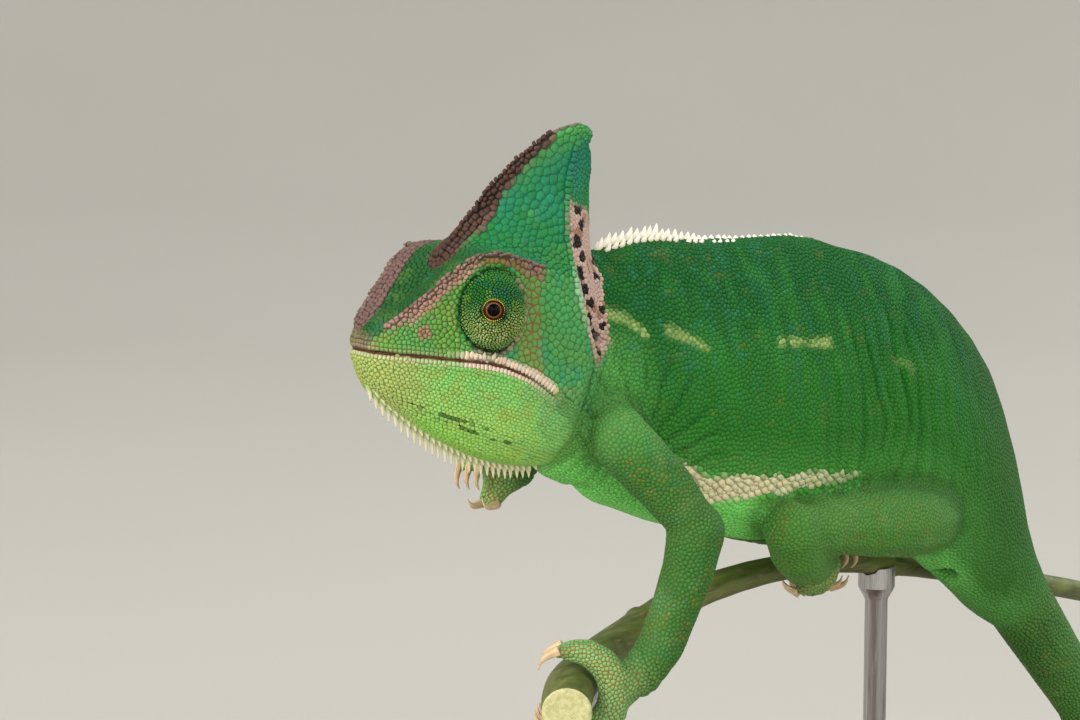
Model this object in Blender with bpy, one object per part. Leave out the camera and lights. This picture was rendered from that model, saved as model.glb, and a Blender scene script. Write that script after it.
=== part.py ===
"""A life-size veiled chameleon, still, gripping a cut stem on a plain display stand.

Lengths are in millimetres and turned into metres where a vertex is made. The animal
faces -Y, its left side is +X, and the floor under the stand is z = 0. Trunk, limbs and
stem are placed from the throat point, the rear end of the chin crest. The head has its
own directions from the same point, because it is turned to the animal's right.
"""
import math

import bmesh
import bpy
from mathutils import Vector

MM = 0.001
GAP = 0.3                       # clearance between neighbouring pieces
WELD_DISTANCE = 0.03
SPINE_SIDES = 5                 # of each soft cone of a crest

# Driving places
THROAT = Vector((0.0, -61.0, 104.0))
HEAD_TURN = math.radians(11.0)

# Stand
BASE_LENGTH = 200.0
BASE_WIDTH = 96.0
BASE_HEIGHT = 10.0
BASE_CORNER = 14.0
BASE_CORNER_STEPS = 5
BASE_EDGE = 2.0
ROD_RADIUS = 1.8
ROD_FOOT_RADIUS = 6.5
ROD_FOOT_HEIGHT = 2.0
ROD_CUP_RADIUS = 2.9
ROD_CUP_HEIGHT = 4.0
ROD_CUP_LIP = 0.35              # how far the cup's lip stays below the stem's middle
ROD_POINTS = 16
ROD_STATIONS = {"front": 2.6, "rear": 8.5}      # where each rod meets the stem

# Colours: name -> (red, green, blue, roughness, metallic)
FINISHES = {
    "skin_green": (0.04, 0.22, 0.06, 0.55, 0.0),
    "skin_throat": (0.22, 0.45, 0.06, 0.55, 0.0),
    "skin_dark": (0.03, 0.13, 0.05, 0.6, 0.0),
    "eye_dark": (0.05, 0.02, 0.015, 0.15, 0.0),
    "claw_horn": (0.42, 0.30, 0.17, 0.4, 0.0),
    "stem_bark": (0.10, 0.10, 0.03, 0.7, 0.0),
    "stand_wood": (0.09, 0.045, 0.02, 0.4, 0.0),
    "stand_steel": (0.55, 0.55, 0.55, 0.3, 1.0),
}


# ---------------------------------------------------------------- shared helpers

def clear_scene():
    for old in list(bpy.data.objects):
        bpy.data.objects.remove(old, do_unlink=True)


def finish_material(name):
    if name in bpy.data.materials:
        return bpy.data.materials[name]
    red, green, blue, roughness, metallic = FINISHES[name]
    material = bpy.data.materials.new(name)
    material.use_nodes = True
    shader = material.node_tree.nodes["Principled BSDF"]
    shader.inputs["Base Color"].default_value = (red, green, blue, 1.0)
    shader.inputs["Roughness"].default_value = roughness
    shader.inputs["Metallic"].default_value = metallic
    return material


def mesh_object(name, bm, finish):
    bmesh.ops.recalc_face_normals(bm, faces=bm.faces)
    mesh = bpy.data.meshes.new(name)
    bm.to_mesh(mesh)
    bm.free()
    mesh.shade_smooth()
    mesh.set_sharp_from_angle(angle=math.radians(40.0))
    mesh.materials.append(finish_material(finish))
    piece = bpy.data.objects.new(name, mesh)
    bpy.context.scene.collection.objects.link(piece)
    return piece


def as_cutter(piece):
    piece.hide_render = True
    piece.display_type = "WIRE"
    return piece


def combine(piece, operation, other):
    modifier = piece.modifiers.new(other.name, "BOOLEAN")
    modifier.operation = operation
    modifier.solver = "EXACT"
    modifier.object = other


def weld(piece):
    """Close up the hair-thin edges that the cuts leave."""
    modifier = piece.modifiers.new("weld", "WELD")
    modifier.merge_threshold = WELD_DISTANCE * MM


def smooth_row(rows, station):
    """Every value of the row at a station, on a smooth curve through all the rows."""
    last = len(rows) - 1
    start = min(int(station), last - 1)
    u = station - start
    near = [rows[min(max(index, 0), last)] for index in range(start - 1, start + 3)]
    values = []
    for p, q, r, s in zip(*near):
        bend = (2 * p - 5 * q + 4 * r - s) * u * u + (3 * q - p - 3 * r + s) * u ** 3
        values.append(0.5 * (2 * q + (r - p) * u + bend))
    return values


def stations(first, last, steps):
    return [first + (last - first) * index / steps for index in range(steps + 1)]


def height_along(line, place):
    """The height of a line of (place, height) points, straight between them."""
    for (near, near_height), (far, far_height) in zip(line, line[1:]):
        if near <= place <= far:
            share = (place - near) / (far - near)
            return near_height + (far_height - near_height) * share
    return line[-1][1]


def oval(centre, side, up, half_side, half_up, count, keel=0.0):
    """A ring of points round a centre, narrowed towards its top by the keel."""
    points = []
    for index in range(count):
        angle = 2 * math.pi * index / count
        across = half_side * math.sin(angle) * (1 - keel * max(0.0, math.cos(angle)))
        points.append(centre + side * across + up * (half_up * math.cos(angle)))
    return points


def add_loft(bm, rings):
    """A closed body through rings of equal counts, point to point, flat at both ends."""
    loops = [[bm.verts.new(point * MM) for point in points] for points in rings]
    for first, second in zip(loops, loops[1:]):
        for index in range(len(first)):
            bm.faces.new((first[index - 1], first[index], second[index], second[index - 1]))
    bm.faces.new(loops[0])
    bm.faces.new(loops[-1])


def loft(name, rings, finish):
    bm = bmesh.new()
    add_loft(bm, rings)
    return mesh_object(name, bm, finish)


def add_spine(bm, root, tip, across, half_across, along, half_along):
    """A cone from an oval root to a point."""
    base = oval(root, across, along, half_across, half_along, SPINE_SIDES)
    verts = [bm.verts.new(point * MM) for point in base]
    point = bm.verts.new(tip * MM)
    bm.faces.new(verts)
    for first, second in zip(verts, verts[1:] + verts[:1]):
        bm.faces.new((first, second, point))


def sweep_rings(rows, first, last, steps, count, reference, grow=0.0):
    """Rings along a smooth path; a row is x, y, z, half across, half along reference."""
    rings = []
    for station in stations(first, last, steps):
        x, y, z, half_side, half_up = smooth_row(rows, station)
        ahead = smooth_row(rows, min(station + 0.05, len(rows) - 1))
        behind = smooth_row(rows, max(station - 0.05, 0))
        axis = (Vector(ahead[:3]) - Vector(behind[:3])).normalized()
        side = reference.cross(axis).normalized()
        up = axis.cross(side)
        centre = THROAT + Vector((x, y, z))
        rings.append(oval(centre, side, up, half_side + grow, half_up + grow, count))
    return rings


# ---------------------------------------------------------------- head

FORWARD = Vector((-math.sin(HEAD_TURN), -math.cos(HEAD_TURN), 0.0))
LEFTWARD = Vector((math.cos(HEAD_TURN), -math.sin(HEAD_TURN), 0.0))
UPWARD = Vector((0.0, 0.0, 1.0))

# Cross-sections from the snout back to the rear edge of the casque:
# forward, crest height, crest hollow, brow half width, brow height, orbit half width,
# lip half width, lip height, chin height
HEAD_SECTIONS = [
    (27.7, 19.6, 2.0, 1.3, 19.3, 1.4, 1.5, 18.2, 16.3),
    (26.9, 20.9, 2.0, 2.9, 20.3, 3.1, 3.2, 18.3, 14.0),
    (24.8, 22.3, 2.0, 4.9, 22.1, 5.1, 5.4, 18.0, 11.3),
    (21.0, 24.0, 2.0, 6.8, 25.4, 6.4, 7.1, 17.4, 8.2),
    (16.8, 27.2, 2.0, 8.6, 29.3, 7.1, 8.4, 16.8, 5.4),
    (13.0, 31.9, 2.2, 9.4, 30.8, 7.3, 9.3, 16.3, 3.3),
    (8.8, 36.6, 2.2, 9.2, 30.1, 7.9, 10.0, 15.1, 1.6),
    (4.0, 40.9, 1.6, 8.5, 28.2, 8.7, 10.1, 12.5, 0.5),
    (0.0, 43.6, 1.25, 7.7, 27.6, 8.9, 9.7, 12.0, 0.3),
    (-3.2, 45.5, 1.15, 6.9, 27.0, 8.2, 8.5, 15.0, 5.0),
    (-6.0, 46.4, 1.1, 4.6, 27.4, 5.8, 6.0, 17.5, 11.5),
    (-8.6, 46.0, 1.1, 1.9, 28.6, 2.9, 3.0, 19.4, 16.5),
    (-9.7, 44.6, 1.0, 0.7, 30.0, 1.2, 1.2, 21.0, 18.5),
]
REAR_HOLLOW = 0.9               # depth of the hollow in the casque's rear edge
REAR_HOLLOW_LOW = 21.0          # heights between which it lies
REAR_HOLLOW_HIGH = 43.0
REAR_HOLLOW_START = -3.0
REAR_HOLLOW_LENGTH = 5.5
REAR_HOLLOW_TUCK = -0.35        # share by which the edge leans the other way below it
CREST_POINTS = 6                # ring points from the crest down to the brow
CHEEK_POINTS = 3                # from the brow down to the lip
JAW_POINTS = 4                  # from the lip down to the chin
JAW_FULLNESS = 0.9              # below 1 the jaw's cross-section is fuller than an ellipse
HEAD_STEPS = 20
HEAD_REACH = 25.0               # half width of the cutters that part the head
HEAD_ABOVE = 60.0               # their far edges, over and under the head
HEAD_BELOW = -30.0

# Profiles of the cuts between the head's pieces, as (forward, height) from the front
MOUTH_LINE = [(32.0, 19.0), (24.5, 17.9), (18.5, 17.1), (13.2, 16.3), (9.1, 14.9),
              (6.3, 13.4), (4.0, 11.7), (-2.5, 7.6), (-14.0, 5.0)]
CASQUE_LINE = [(32.0, 32.6), (13.5, 31.6), (4.0, 29.9), (-14.0, 27.0)]

TURRET_CENTRE = (12.3, 8.9, 23.1)
TURRET_RADIUS = 5.1             # vertical
TURRET_WIDTH_SHARE = 0.86       # the turret is narrower than it is tall
TURRET_SEGMENTS = 18
EYE_RADIUS = 2.4
EYE_SEGMENTS = 12
EYE_DEPTH = 2.2                 # from the turret's centre out to the eyeball's centre
GAZES = {"left": (0.554, 0.821, 0.139), "right": (0.83, 0.555, 0.05)}

CHIN_SPINES = 21
CHIN_SPINE_FIRST = 26.0         # forward places of the first and last cones
CHIN_SPINE_LAST = 1.4
CHIN_SPINE_LENGTH = 2.7
CHIN_SPINE_SINK = 0.9           # how deep a cone is rooted
CHIN_SPINE_LEAN = 0.35
CHIN_SPINE_HALF_ALONG = 0.62
CHIN_SPINE_HALF_ACROSS = 0.55


def in_head(forward, left, up):
    return THROAT + FORWARD * forward + LEFTWARD * left + UPWARD * up


def head_half_ring(row, grow):
    """Half width and height of the left half's points, from the crest to the chin."""
    crest, hollow, brow_width, brow, orbit_width, lip_width, lip, chin = row
    crest += grow
    chin -= grow
    brow_width += grow
    orbit_width += grow
    lip_width += grow
    points = []
    for index in range(CREST_POINTS):
        across = index / CREST_POINTS
        rise = (crest - brow) * (1 - across) ** hollow
        points.append((brow_width * across, brow + rise))
    halfway = (brow_width + lip_width) / 2
    for index in range(CHEEK_POINTS):
        down = index / CHEEK_POINTS
        straight = brow_width + (lip_width - brow_width) * down
        inward = (orbit_width - halfway) * math.sin(math.pi * down)
        points.append((straight + inward, brow + (lip - brow) * down))
    for index in range(JAW_POINTS + 1):
        angle = math.pi / 2 * index / JAW_POINTS
        points.append((lip_width * math.cos(angle) ** JAW_FULLNESS,
                       lip - (lip - chin) * math.sin(angle)))
    return points


def rear_shift(forward, up):
    """How far a point of the casque's rear edge leans forward, deepest at mid height."""
    rearward = min(1.0, max(0.0, (REAR_HOLLOW_START - forward) / REAR_HOLLOW_LENGTH))
    share = (up - REAR_HOLLOW_LOW) / (REAR_HOLLOW_HIGH - REAR_HOLLOW_LOW)
    share = min(1.0, max(REAR_HOLLOW_TUCK, share))
    return REAR_HOLLOW * rearward * math.sin(math.pi * share)


def head_rings(grow=0.0):
    rings = []
    for station in stations(0, len(HEAD_SECTIONS) - 1, HEAD_STEPS):
        forward, *row = smooth_row(HEAD_SECTIONS, station)
        half = [(forward + rear_shift(forward, up), across, up)
                for across, up in head_half_ring(row, grow)]
        left = [in_head(*point) for point in half]
        right = [in_head(ahead, -across, up) for ahead, across, up in half[1:-1]]
        rings.append(left + right[::-1])
    if grow:
        rings[0] = [point + FORWARD * grow for point in rings[0]]
        rings[-1] = [point - FORWARD * grow for point in rings[-1]]
    return rings


def profile_cutter(name, line, shift, far_height):
    """Everything between a profile line and a far height, right across the head."""
    outline = [(forward, up + shift) for forward, up in line]
    outline += [(line[-1][0], far_height), (line[0][0], far_height)]
    sides = []
    for across in (-HEAD_REACH, HEAD_REACH):
        sides.append([in_head(forward, across, up) for forward, up in outline])
    bm = bmesh.new()
    add_loft(bm, sides)
    return as_cutter(mesh_object(name, bm, "stand_steel"))


def ball(name, centre, radius, segments, finish, width_share=1.0):
    bm = bmesh.new()
    bmesh.ops.create_uvsphere(bm, u_segments=segments, v_segments=segments // 2,
                              radius=radius * MM)
    bmesh.ops.scale(bm, verts=bm.verts, vec=(width_share, width_share, 1.0))
    bmesh.ops.translate(bm, verts=bm.verts, vec=centre * MM)
    return mesh_object(name, bm, finish)


def chin_crest():
    """The row of soft cones under the chin, longest in the middle of the row."""
    chin_line = sorted((row[0], row[-1]) for row in HEAD_SECTIONS)
    bm = bmesh.new()
    for along in stations(0.0, 1.0, CHIN_SPINES - 1):
        forward = CHIN_SPINE_FIRST + (CHIN_SPINE_LAST - CHIN_SPINE_FIRST) * along
        length = CHIN_SPINE_LENGTH * (0.6 + 0.4 * math.sin(math.pi * (0.15 + 0.75 * along)))
        root = in_head(forward, 0, height_along(chin_line, forward) + CHIN_SPINE_SINK)
        tip = root - FORWARD * CHIN_SPINE_LEAN - UPWARD * (length + CHIN_SPINE_SINK)
        add_spine(bm, root, tip, LEFTWARD, CHIN_SPINE_HALF_ACROSS,
                  FORWARD, CHIN_SPINE_HALF_ALONG)
    return as_cutter(mesh_object("chin_spines", bm, "claw_horn"))


def build_head():
    head_cutter = as_cutter(loft("cut_head", head_rings(GAP), "skin_green"))
    above_casque = profile_cutter("cut_above_casque", CASQUE_LINE, GAP / 2, HEAD_ABOVE)
    below_casque = profile_cutter("cut_below_casque", CASQUE_LINE, -GAP / 2, HEAD_BELOW)
    above_mouth = profile_cutter("cut_above_mouth", MOUTH_LINE, GAP / 2, HEAD_ABOVE)
    below_mouth = profile_cutter("cut_below_mouth", MOUTH_LINE, -GAP / 2, HEAD_BELOW)

    casque = loft("casque", head_rings(), "skin_green")
    combine(casque, "INTERSECT", above_casque)
    weld(casque)

    head = loft("head", head_rings(), "skin_green")
    combine(head, "INTERSECT", below_casque)
    combine(head, "INTERSECT", above_mouth)

    jaw = loft("lower_jaw", head_rings(), "skin_throat")
    combine(jaw, "INTERSECT", below_mouth)
    combine(jaw, "UNION", chin_crest())
    weld(jaw)

    forward, across, up = TURRET_CENTRE
    for side, sign in (("left", 1), ("right", -1)):
        centre = in_head(forward, sign * across, up)
        ahead, outward, raised = GAZES[side]
        gaze = (FORWARD * ahead + LEFTWARD * (sign * outward) + UPWARD * raised).normalized()
        eye_centre = centre + gaze * EYE_DEPTH
        socket = as_cutter(ball(f"cut_eye_{side}", eye_centre, EYE_RADIUS + GAP,
                                EYE_SEGMENTS, "eye_dark"))
        turret = ball(f"eye_turret_{side}", centre, TURRET_RADIUS, TURRET_SEGMENTS,
                      "skin_green", TURRET_WIDTH_SHARE)
        combine(turret, "DIFFERENCE", head_cutter)
        combine(turret, "DIFFERENCE", socket)
        weld(turret)
        combine(head, "DIFFERENCE", socket)
        ball(f"eye_{side}", eye_centre, EYE_RADIUS, EYE_SEGMENTS, "eye_dark")
    weld(head)
    return head_cutter


# ---------------------------------------------------------------- neck, trunk and tail

# Sections of the body in its middle plane, from the neck to the root of the tail:
# back y, back z, belly y, belly z, half width, keel
BODY_SECTIONS = [
    (-1.0, 22.0, -2.0, 5.5, 6.8, 0.2),
    (6.0, 27.6, 0.2, -0.6, 8.0, 0.25),
    (12.5, 29.3, 7.0, -3.9, 9.2, 0.3),
    (20.5, 30.2, 14.5, -8.2, 10.4, 0.35),
    (32.9, 29.0, 26.5, -13.0, 11.6, 0.35),
    (45.0, 28.6, 40.0, -16.6, 12.4, 0.35),
    (57.0, 27.8, 53.0, -18.2, 12.6, 0.35),
    (69.0, 25.2, 65.0, -17.4, 12.0, 0.35),
    (80.5, 20.2, 75.0, -19.2, 10.9, 0.3),
    (90.8, 13.4, 82.0, -24.0, 9.6, 0.3),
    (98.9, 5.0, 87.5, -27.8, 8.5, 0.25),
    (103.8, -4.4, 92.0, -30.8, 7.6, 0.2),
    (107.3, -14.2, 95.8, -33.6, 6.9, 0.15),
    (110.2, -23.2, 99.3, -36.2, 6.2, 0.1),
    (114.7, -30.8, 105.5, -39.6, 5.4, 0.05),
]
BODY_LAST = len(BODY_SECTIONS) - 1
NECK_END = 1.95                 # station where the neck meets the trunk
TRUNK_END = 10.6                # station where the trunk meets the tail
CUT_HALF = 0.02                 # stations that give half the clearance
BODY_POINTS = 18

# The tail past its root: a straight stretch, then a curl that tightens evenly
TAIL_START = (110.1, -35.2)
TAIL_HEADING = math.radians(47.0)       # below the horizontal
TAIL_STRAIGHT = 25.0
CURL_LENGTH = 98.0
CURL_RADIUS_FIRST = 19.5
CURL_RADIUS_LAST = 3.5
TAIL_HALF_HEIGHT_FIRST = 6.3
TAIL_HALF_HEIGHT_LAST = 0.9
TAIL_TAPER = 1.15
TAIL_WIDTH_SHARE = 0.85
TAIL_POINTS = 10
TAIL_STEP = 0.5
TAIL_WHOLE = TAIL_STRAIGHT + CURL_LENGTH
# Name, first and last arc length, and rings of each length of tail past the root
TAIL_PIECES = [("tail_middle", 0.0, 50.0, 7), ("tail_curl", 50.0, 84.0, 10),
               ("tail_tip", 84.0, TAIL_WHOLE, 14)]

BACK_SPINES = 24
BACK_SPINE_FIRST = 13.4                 # y of the first spine behind the casque
BACK_SPINE_PITCH = 1.75
BACK_SPINE_LENGTH_FIRST = 2.0
BACK_SPINE_LENGTH_LAST = 0.7
BACK_SPINE_SINK = 0.8
BACK_SPINE_LEAN = 0.9
BACK_SPINE_HALF_ALONG = 0.75
BACK_SPINE_HALF_ACROSS = 0.5


def body_ring(station, grow=0.0):
    back_y, back_z, belly_y, belly_z, half_width, keel = smooth_row(BODY_SECTIONS, station)
    back = Vector((0, back_y, back_z))
    belly = Vector((0, belly_y, belly_z))
    up = (back - belly).normalized()
    centre = THROAT + (back + belly) / 2
    half_height = (back - belly).length / 2
    return oval(centre, Vector((1, 0, 0)), up, half_width + grow, half_height + grow,
                BODY_POINTS, keel)


def tail_path():
    """Rows of y, z, heading and arc length along the tail's middle line."""
    y, z = TAIL_START
    heading = TAIL_HEADING
    length = 0.0
    rows = [(y, z, heading, length)]
    while length < TAIL_WHOLE:
        y += TAIL_STEP * math.cos(heading)
        z -= TAIL_STEP * math.sin(heading)
        length += TAIL_STEP
        curled = max(0.0, length - TAIL_STRAIGHT) / CURL_LENGTH
        if curled > 0:
            radius = CURL_RADIUS_FIRST + (CURL_RADIUS_LAST - CURL_RADIUS_FIRST) * curled
            heading += TAIL_STEP / radius
        rows.append((y, z, heading, length))
    return rows


def tail_ring(path, length):
    y, z, heading, length = smooth_row(path, min(length / TAIL_STEP, len(path) - 1))
    half_height = TAIL_HALF_HEIGHT_FIRST - TAIL_HALF_HEIGHT_LAST
    half_height *= (1 - length / TAIL_WHOLE) ** TAIL_TAPER
    half_height += TAIL_HALF_HEIGHT_LAST
    up = Vector((0, math.sin(heading), math.cos(heading)))
    centre = THROAT + Vector((0, y, z))
    return oval(centre, Vector((1, 0, 0)), up, half_height * TAIL_WIDTH_SHARE,
                half_height, TAIL_POINTS)


def back_spines():
    """The crest of soft cones along the back, fading towards the hips."""
    back_line = [(row[0], row[1]) for row in BODY_SECTIONS]
    bm = bmesh.new()
    for index in range(BACK_SPINES):
        y = BACK_SPINE_FIRST + BACK_SPINE_PITCH * index
        fade = (1 - index / BACK_SPINES) ** 0.7
        length = BACK_SPINE_LENGTH_LAST
        length += (BACK_SPINE_LENGTH_FIRST - BACK_SPINE_LENGTH_LAST) * fade
        root = THROAT + Vector((0, y, height_along(back_line, y) - BACK_SPINE_SINK))
        tip = root + Vector((0, BACK_SPINE_LEAN, length + BACK_SPINE_SINK))
        add_spine(bm, root, tip, Vector((1, 0, 0)), BACK_SPINE_HALF_ACROSS,
                  Vector((0, 1, 0)), BACK_SPINE_HALF_ALONG)
    return as_cutter(mesh_object("back_spines", bm, "claw_horn"))


def body_loft(name, first, last, steps, grow=0.0):
    rings = [body_ring(station, grow) for station in stations(first, last, steps)]
    return loft(name, rings, "skin_dark" if name == "tail_root" else "skin_green")


def build_body(head_cutter):
    neck = body_loft("neck", 0, NECK_END - CUT_HALF, 5)
    combine(neck, "DIFFERENCE", head_cutter)
    weld(neck)
    trunk = body_loft("trunk", NECK_END + CUT_HALF, TRUNK_END, 14)
    combine(trunk, "DIFFERENCE", head_cutter)
    combine(trunk, "UNION", back_spines())
    weld(trunk)
    body_loft("tail_root", TRUNK_END + 2 * CUT_HALF, BODY_LAST, 5)

    path = tail_path()
    for name, first, last, steps in TAIL_PIECES:
        lengths = stations(first + GAP, last, steps)
        loft(name, [tail_ring(path, length) for length in lengths], "skin_dark")


# ---------------------------------------------------------------- stem and feet

# Middle line of the stem from its front cut end to its rear one, with its radius
STEM_ROWS = [
    (10.5, -4.5, -31.0, 3.6, 3.6),
    (4.8, 1.6, -30.1, 3.6, 3.6),
    (1.0, 9.0, -29.2, 3.4, 3.4),
    (-2.0, 18.0, -27.8, 3.0, 3.0),
    (-4.0, 28.0, -25.8, 2.7, 2.7),
    (-5.2, 38.0, -24.0, 2.4, 2.4),
    (-5.8, 50.0, -23.3, 2.2, 2.2),
    (-6.0, 63.0, -23.4, 2.05, 2.05),
    (-7.0, 76.0, -25.0, 1.95, 1.95),
    (-8.7, 92.0, -28.2, 1.9, 1.9),
    (-10.4, 110.0, -32.4, 1.9, 1.9),
    (-11.2, 128.0, -36.8, 1.85, 1.85),
    (-12.5, 150.0, -42.6, 1.8, 1.8),
]
STEM_POINTS = 10
STEM_STEPS = 22


def stem_rings(grow=0.0):
    return sweep_rings(STEM_ROWS, 0, len(STEM_ROWS) - 1, STEM_STEPS, STEM_POINTS,
                       Vector((0, 0, 1)), grow)


def stem_at(station):
    """Middle point, direction and radius of the stem at a station."""
    row = smooth_row(STEM_ROWS, station)
    ahead = smooth_row(STEM_ROWS, station + 0.05)
    behind = smooth_row(STEM_ROWS, station - 0.05)
    axis = (Vector(ahead[:3]) - Vector(behind[:3])).normalized()
    return Vector(row[:3]), axis, row[3]


class Grip:
    """A foot's clasp: toes in two bundles round a centre, in the plane across an axis.

    Angles are measured round the axis from the palm, positive towards bundle A.
    """

    def __init__(self, centre, axis, palm_direction, hold_radius, reach_a, reach_b, toe):
        self.centre = centre
        self.axis = axis.normalized()
        out = palm_direction - self.axis * palm_direction.dot(self.axis)
        self.out = out.normalized()
        self.turn = self.axis.cross(self.out)
        self.hold = hold_radius
        self.reach_a = reach_a
        self.reach_b = reach_b
        self.toe = toe

    def direction(self, angle):
        return self.out * math.cos(angle) + self.turn * math.sin(angle)

    def point(self, angle, radius):
        return self.centre + self.direction(angle) * radius


HAND_TOE = 1.8                  # half thickness of the toes of the hands
FOOT_TOE = 1.45                 # and of the feet
PALM_HALF_THICK = 2.6
PALM_SPREAD = 1.5               # how fast the palm gives way to the toes
TOE_END = 0.25                  # share of a bundle over which its end tapers
FOOT_POINTS = 10
FOOT_STEPS = 10


def foot_rings(grip, width_a, width_b, grow=0.0):
    """Rings from the tip of bundle B over the palm to the tip of bundle A."""
    palm_width = (width_a + width_b) / 2 * 0.95
    rings = []
    for along in stations(-1.0, 1.0, FOOT_STEPS):
        angle = along * (grip.reach_a if along > 0 else grip.reach_b)
        width = width_a if along > 0 else width_b
        palm = max(0.0, math.cos(math.pi / 2 * along)) ** PALM_SPREAD
        tip = max(0.0, (abs(along) - 1 + TOE_END) / TOE_END)
        thick = grip.toe + (PALM_HALF_THICK - grip.toe) * palm
        centre = THROAT + grip.point(angle, grip.hold + GAP + thick)
        half_width = (width + (palm_width - width) * palm) * (1 - 0.15 * tip)
        half_thick = thick * (1 - 0.35 * tip)
        rings.append(oval(centre, grip.axis, grip.direction(angle), half_width + grow,
                          half_thick + grow, FOOT_POINTS))
    return rings


CLAW_LENGTH = 2.8
CLAW_HALF_WIDTH = 0.5
CLAW_DEPTH_SHARE = 1.35         # a claw is deeper than it is wide
CLAW_TAPER = 0.86
CLAW_HOOK = 0.95                # how far its tip turns in towards the stem
CLAW_SPREAD = 0.62              # how far across the bundle the outer claws sit
CLAW_RISE = 0.25                # how far out from the toe's middle it grows
CLAW_STEPS = 3
CLAW_POINTS = 5


def claw_rings(grip, sign, reach, offset):
    """Rings of one claw that goes on from the end of its bundle."""
    start = grip.hold + GAP + grip.toe + CLAW_RISE
    rings = []
    for along in stations(0.0, 1.0, CLAW_STEPS):
        angle = sign * (reach + (GAP + CLAW_LENGTH * along) / start)
        centre = THROAT + grip.point(angle, start - CLAW_HOOK * along ** 2)
        centre += grip.axis * offset
        size = CLAW_HALF_WIDTH * (1 - CLAW_TAPER * along)
        rings.append(oval(centre, grip.axis, grip.direction(angle), size,
                          size * CLAW_DEPTH_SHARE, CLAW_POINTS))
    return rings


def build_claws(limb, grip, widths, toes):
    """Curved claws side by side at the end of each bundle."""
    number = 0
    bundles = ((1, grip.reach_a), (-1, grip.reach_b))
    for (sign, reach), width, count in zip(bundles, widths, toes):
        for across in stations(-1.0, 1.0, count - 1):
            number += 1
            rings = claw_rings(grip, sign, reach, across * width * CLAW_SPREAD)
            loft(f"claw_{limb}_{number}", rings, "claw_horn")


# ---------------------------------------------------------------- limbs

# Joints from the root inside the body to the foot: x, y, z, half across, half along
LIMB_ROWS = {
    "front_left": [
        (2.0, 8.0, 9.0, 4.6, 4.6), (8.6, 6.4, 5.0, 4.5, 4.5), (13.4, 11.4, -2.4, 4.2, 4.2),
        (15.6, 15.2, -8.4, 4.1, 4.3), (14.4, 14.6, -15.0, 3.7, 3.9),
        (12.6, 12.8, -22.0, 3.4, 3.6), (11.2, 10.6, -27.4, 3.5, 3.6),
        (8.6, 5.6, -30.4, 3.0, 3.0),
    ],
    "front_right": [
        (-2.0, 8.0, 9.0, 4.6, 4.6), (-9.6, 9.4, 9.6, 4.5, 4.5), (-14.6, 15.6, 12.2, 4.2, 4.2),
        (-16.2, 20.4, 12.0, 4.1, 4.3), (-16.2, 19.0, 6.6, 3.7, 3.9),
        (-15.8, 15.6, 1.4, 3.4, 3.6), (-15.4, 12.2, -2.8, 3.4, 3.5),
        (-15.2, 7.6, -4.6, 3.0, 3.0),
    ],
    "hind_left": [
        (1.5, 83.0, -17.0, 6.6, 6.8), (7.6, 70.0, -15.8, 6.0, 6.2), (10.4, 53.0, -13.6, 4.9, 5.0),
        (11.4, 40.2, -12.6, 4.4, 4.5), (9.9, 43.0, -17.0, 3.8, 3.9),
        (7.0, 48.8, -19.6, 3.4, 3.5), (3.4, 56.0, -20.6, 3.1, 3.1),
        (-1.0, 62.0, -20.4, 2.6, 2.6),
    ],
    "hind_right": [
        (-1.5, 83.0, -14.0, 6.6, 6.8), (-9.4, 71.0, -11.4, 5.8, 6.0),
        (-14.8, 57.0, -8.6, 4.9, 5.0), (-17.0, 46.6, -8.4, 4.4, 4.5),
        (-18.2, 48.8, -13.2, 3.9, 4.0), (-18.6, 57.6, -16.8, 3.4, 3.5),
        (-16.6, 66.0, -19.6, 3.1, 3.1), (-11.8, 71.0, -21.0, 2.6, 2.6),
    ],
}
MIDDLE_JOINT = 3                # the row of the elbow or knee
LIMB_POINTS = 10
UPPER_STEPS = 6
LOWER_STEPS = 9
SOCKET_FIT = 0.84               # the upper limb's end, which stays inside the joint
LIMB_NAMES = {
    "front_left": ("upper_arm_left", "forearm_left", "hand_left"),
    "front_right": ("upper_arm_right", "forearm_right", "hand_right"),
    "hind_left": ("thigh_left", "shin_left", "foot_left"),
    "hind_right": ("thigh_right", "shin_right", "foot_right"),
}
KNUCKLE = [(0.95, 0.35), (0.7, 0.72), (0.3, 0.96)]      # set back, share of thickness
TOE_WIDTHS = {2: 2.1, 3: 2.8}   # half width of a bundle of so many toes
CLOSED_HAND = (math.radians(112.0), math.radians(118.0))
LIFTED_HAND = (math.radians(112.0), math.radians(104.0))
CLOSED_FOOT = (math.radians(122.0), math.radians(122.0))


def stem_grip(station, sense, palm_direction, reaches, toe):
    centre, axis, radius = stem_at(station)
    return Grip(centre, axis * sense, palm_direction, radius, *reaches, toe)


def grips():
    """The clasp of each foot with its toes in bundles A and B."""
    lifted = Grip(Vector((-15.4, 4.6, -4.6)), Vector((1.0, 0.15, 0.05)),
                  Vector((0, 0.85, 0.5)), 1.2, *LIFTED_HAND, HAND_TOE)
    return {
        "front_left": (stem_grip(1.0, -1, Vector((0.72, 0.69, -0.02)), CLOSED_HAND,
                                 HAND_TOE), (2, 3)),
        "front_right": (lifted, (3, 2)),
        "hind_left": (stem_grip(7.0, 1, Vector((0.85, 0, 0.5)), CLOSED_FOOT, FOOT_TOE),
                      (3, 2)),
        "hind_right": (stem_grip(7.62, 1, Vector((-0.9, 0, 0.45)), CLOSED_FOOT, FOOT_TOE),
                       (2, 3)),
    }


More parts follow.
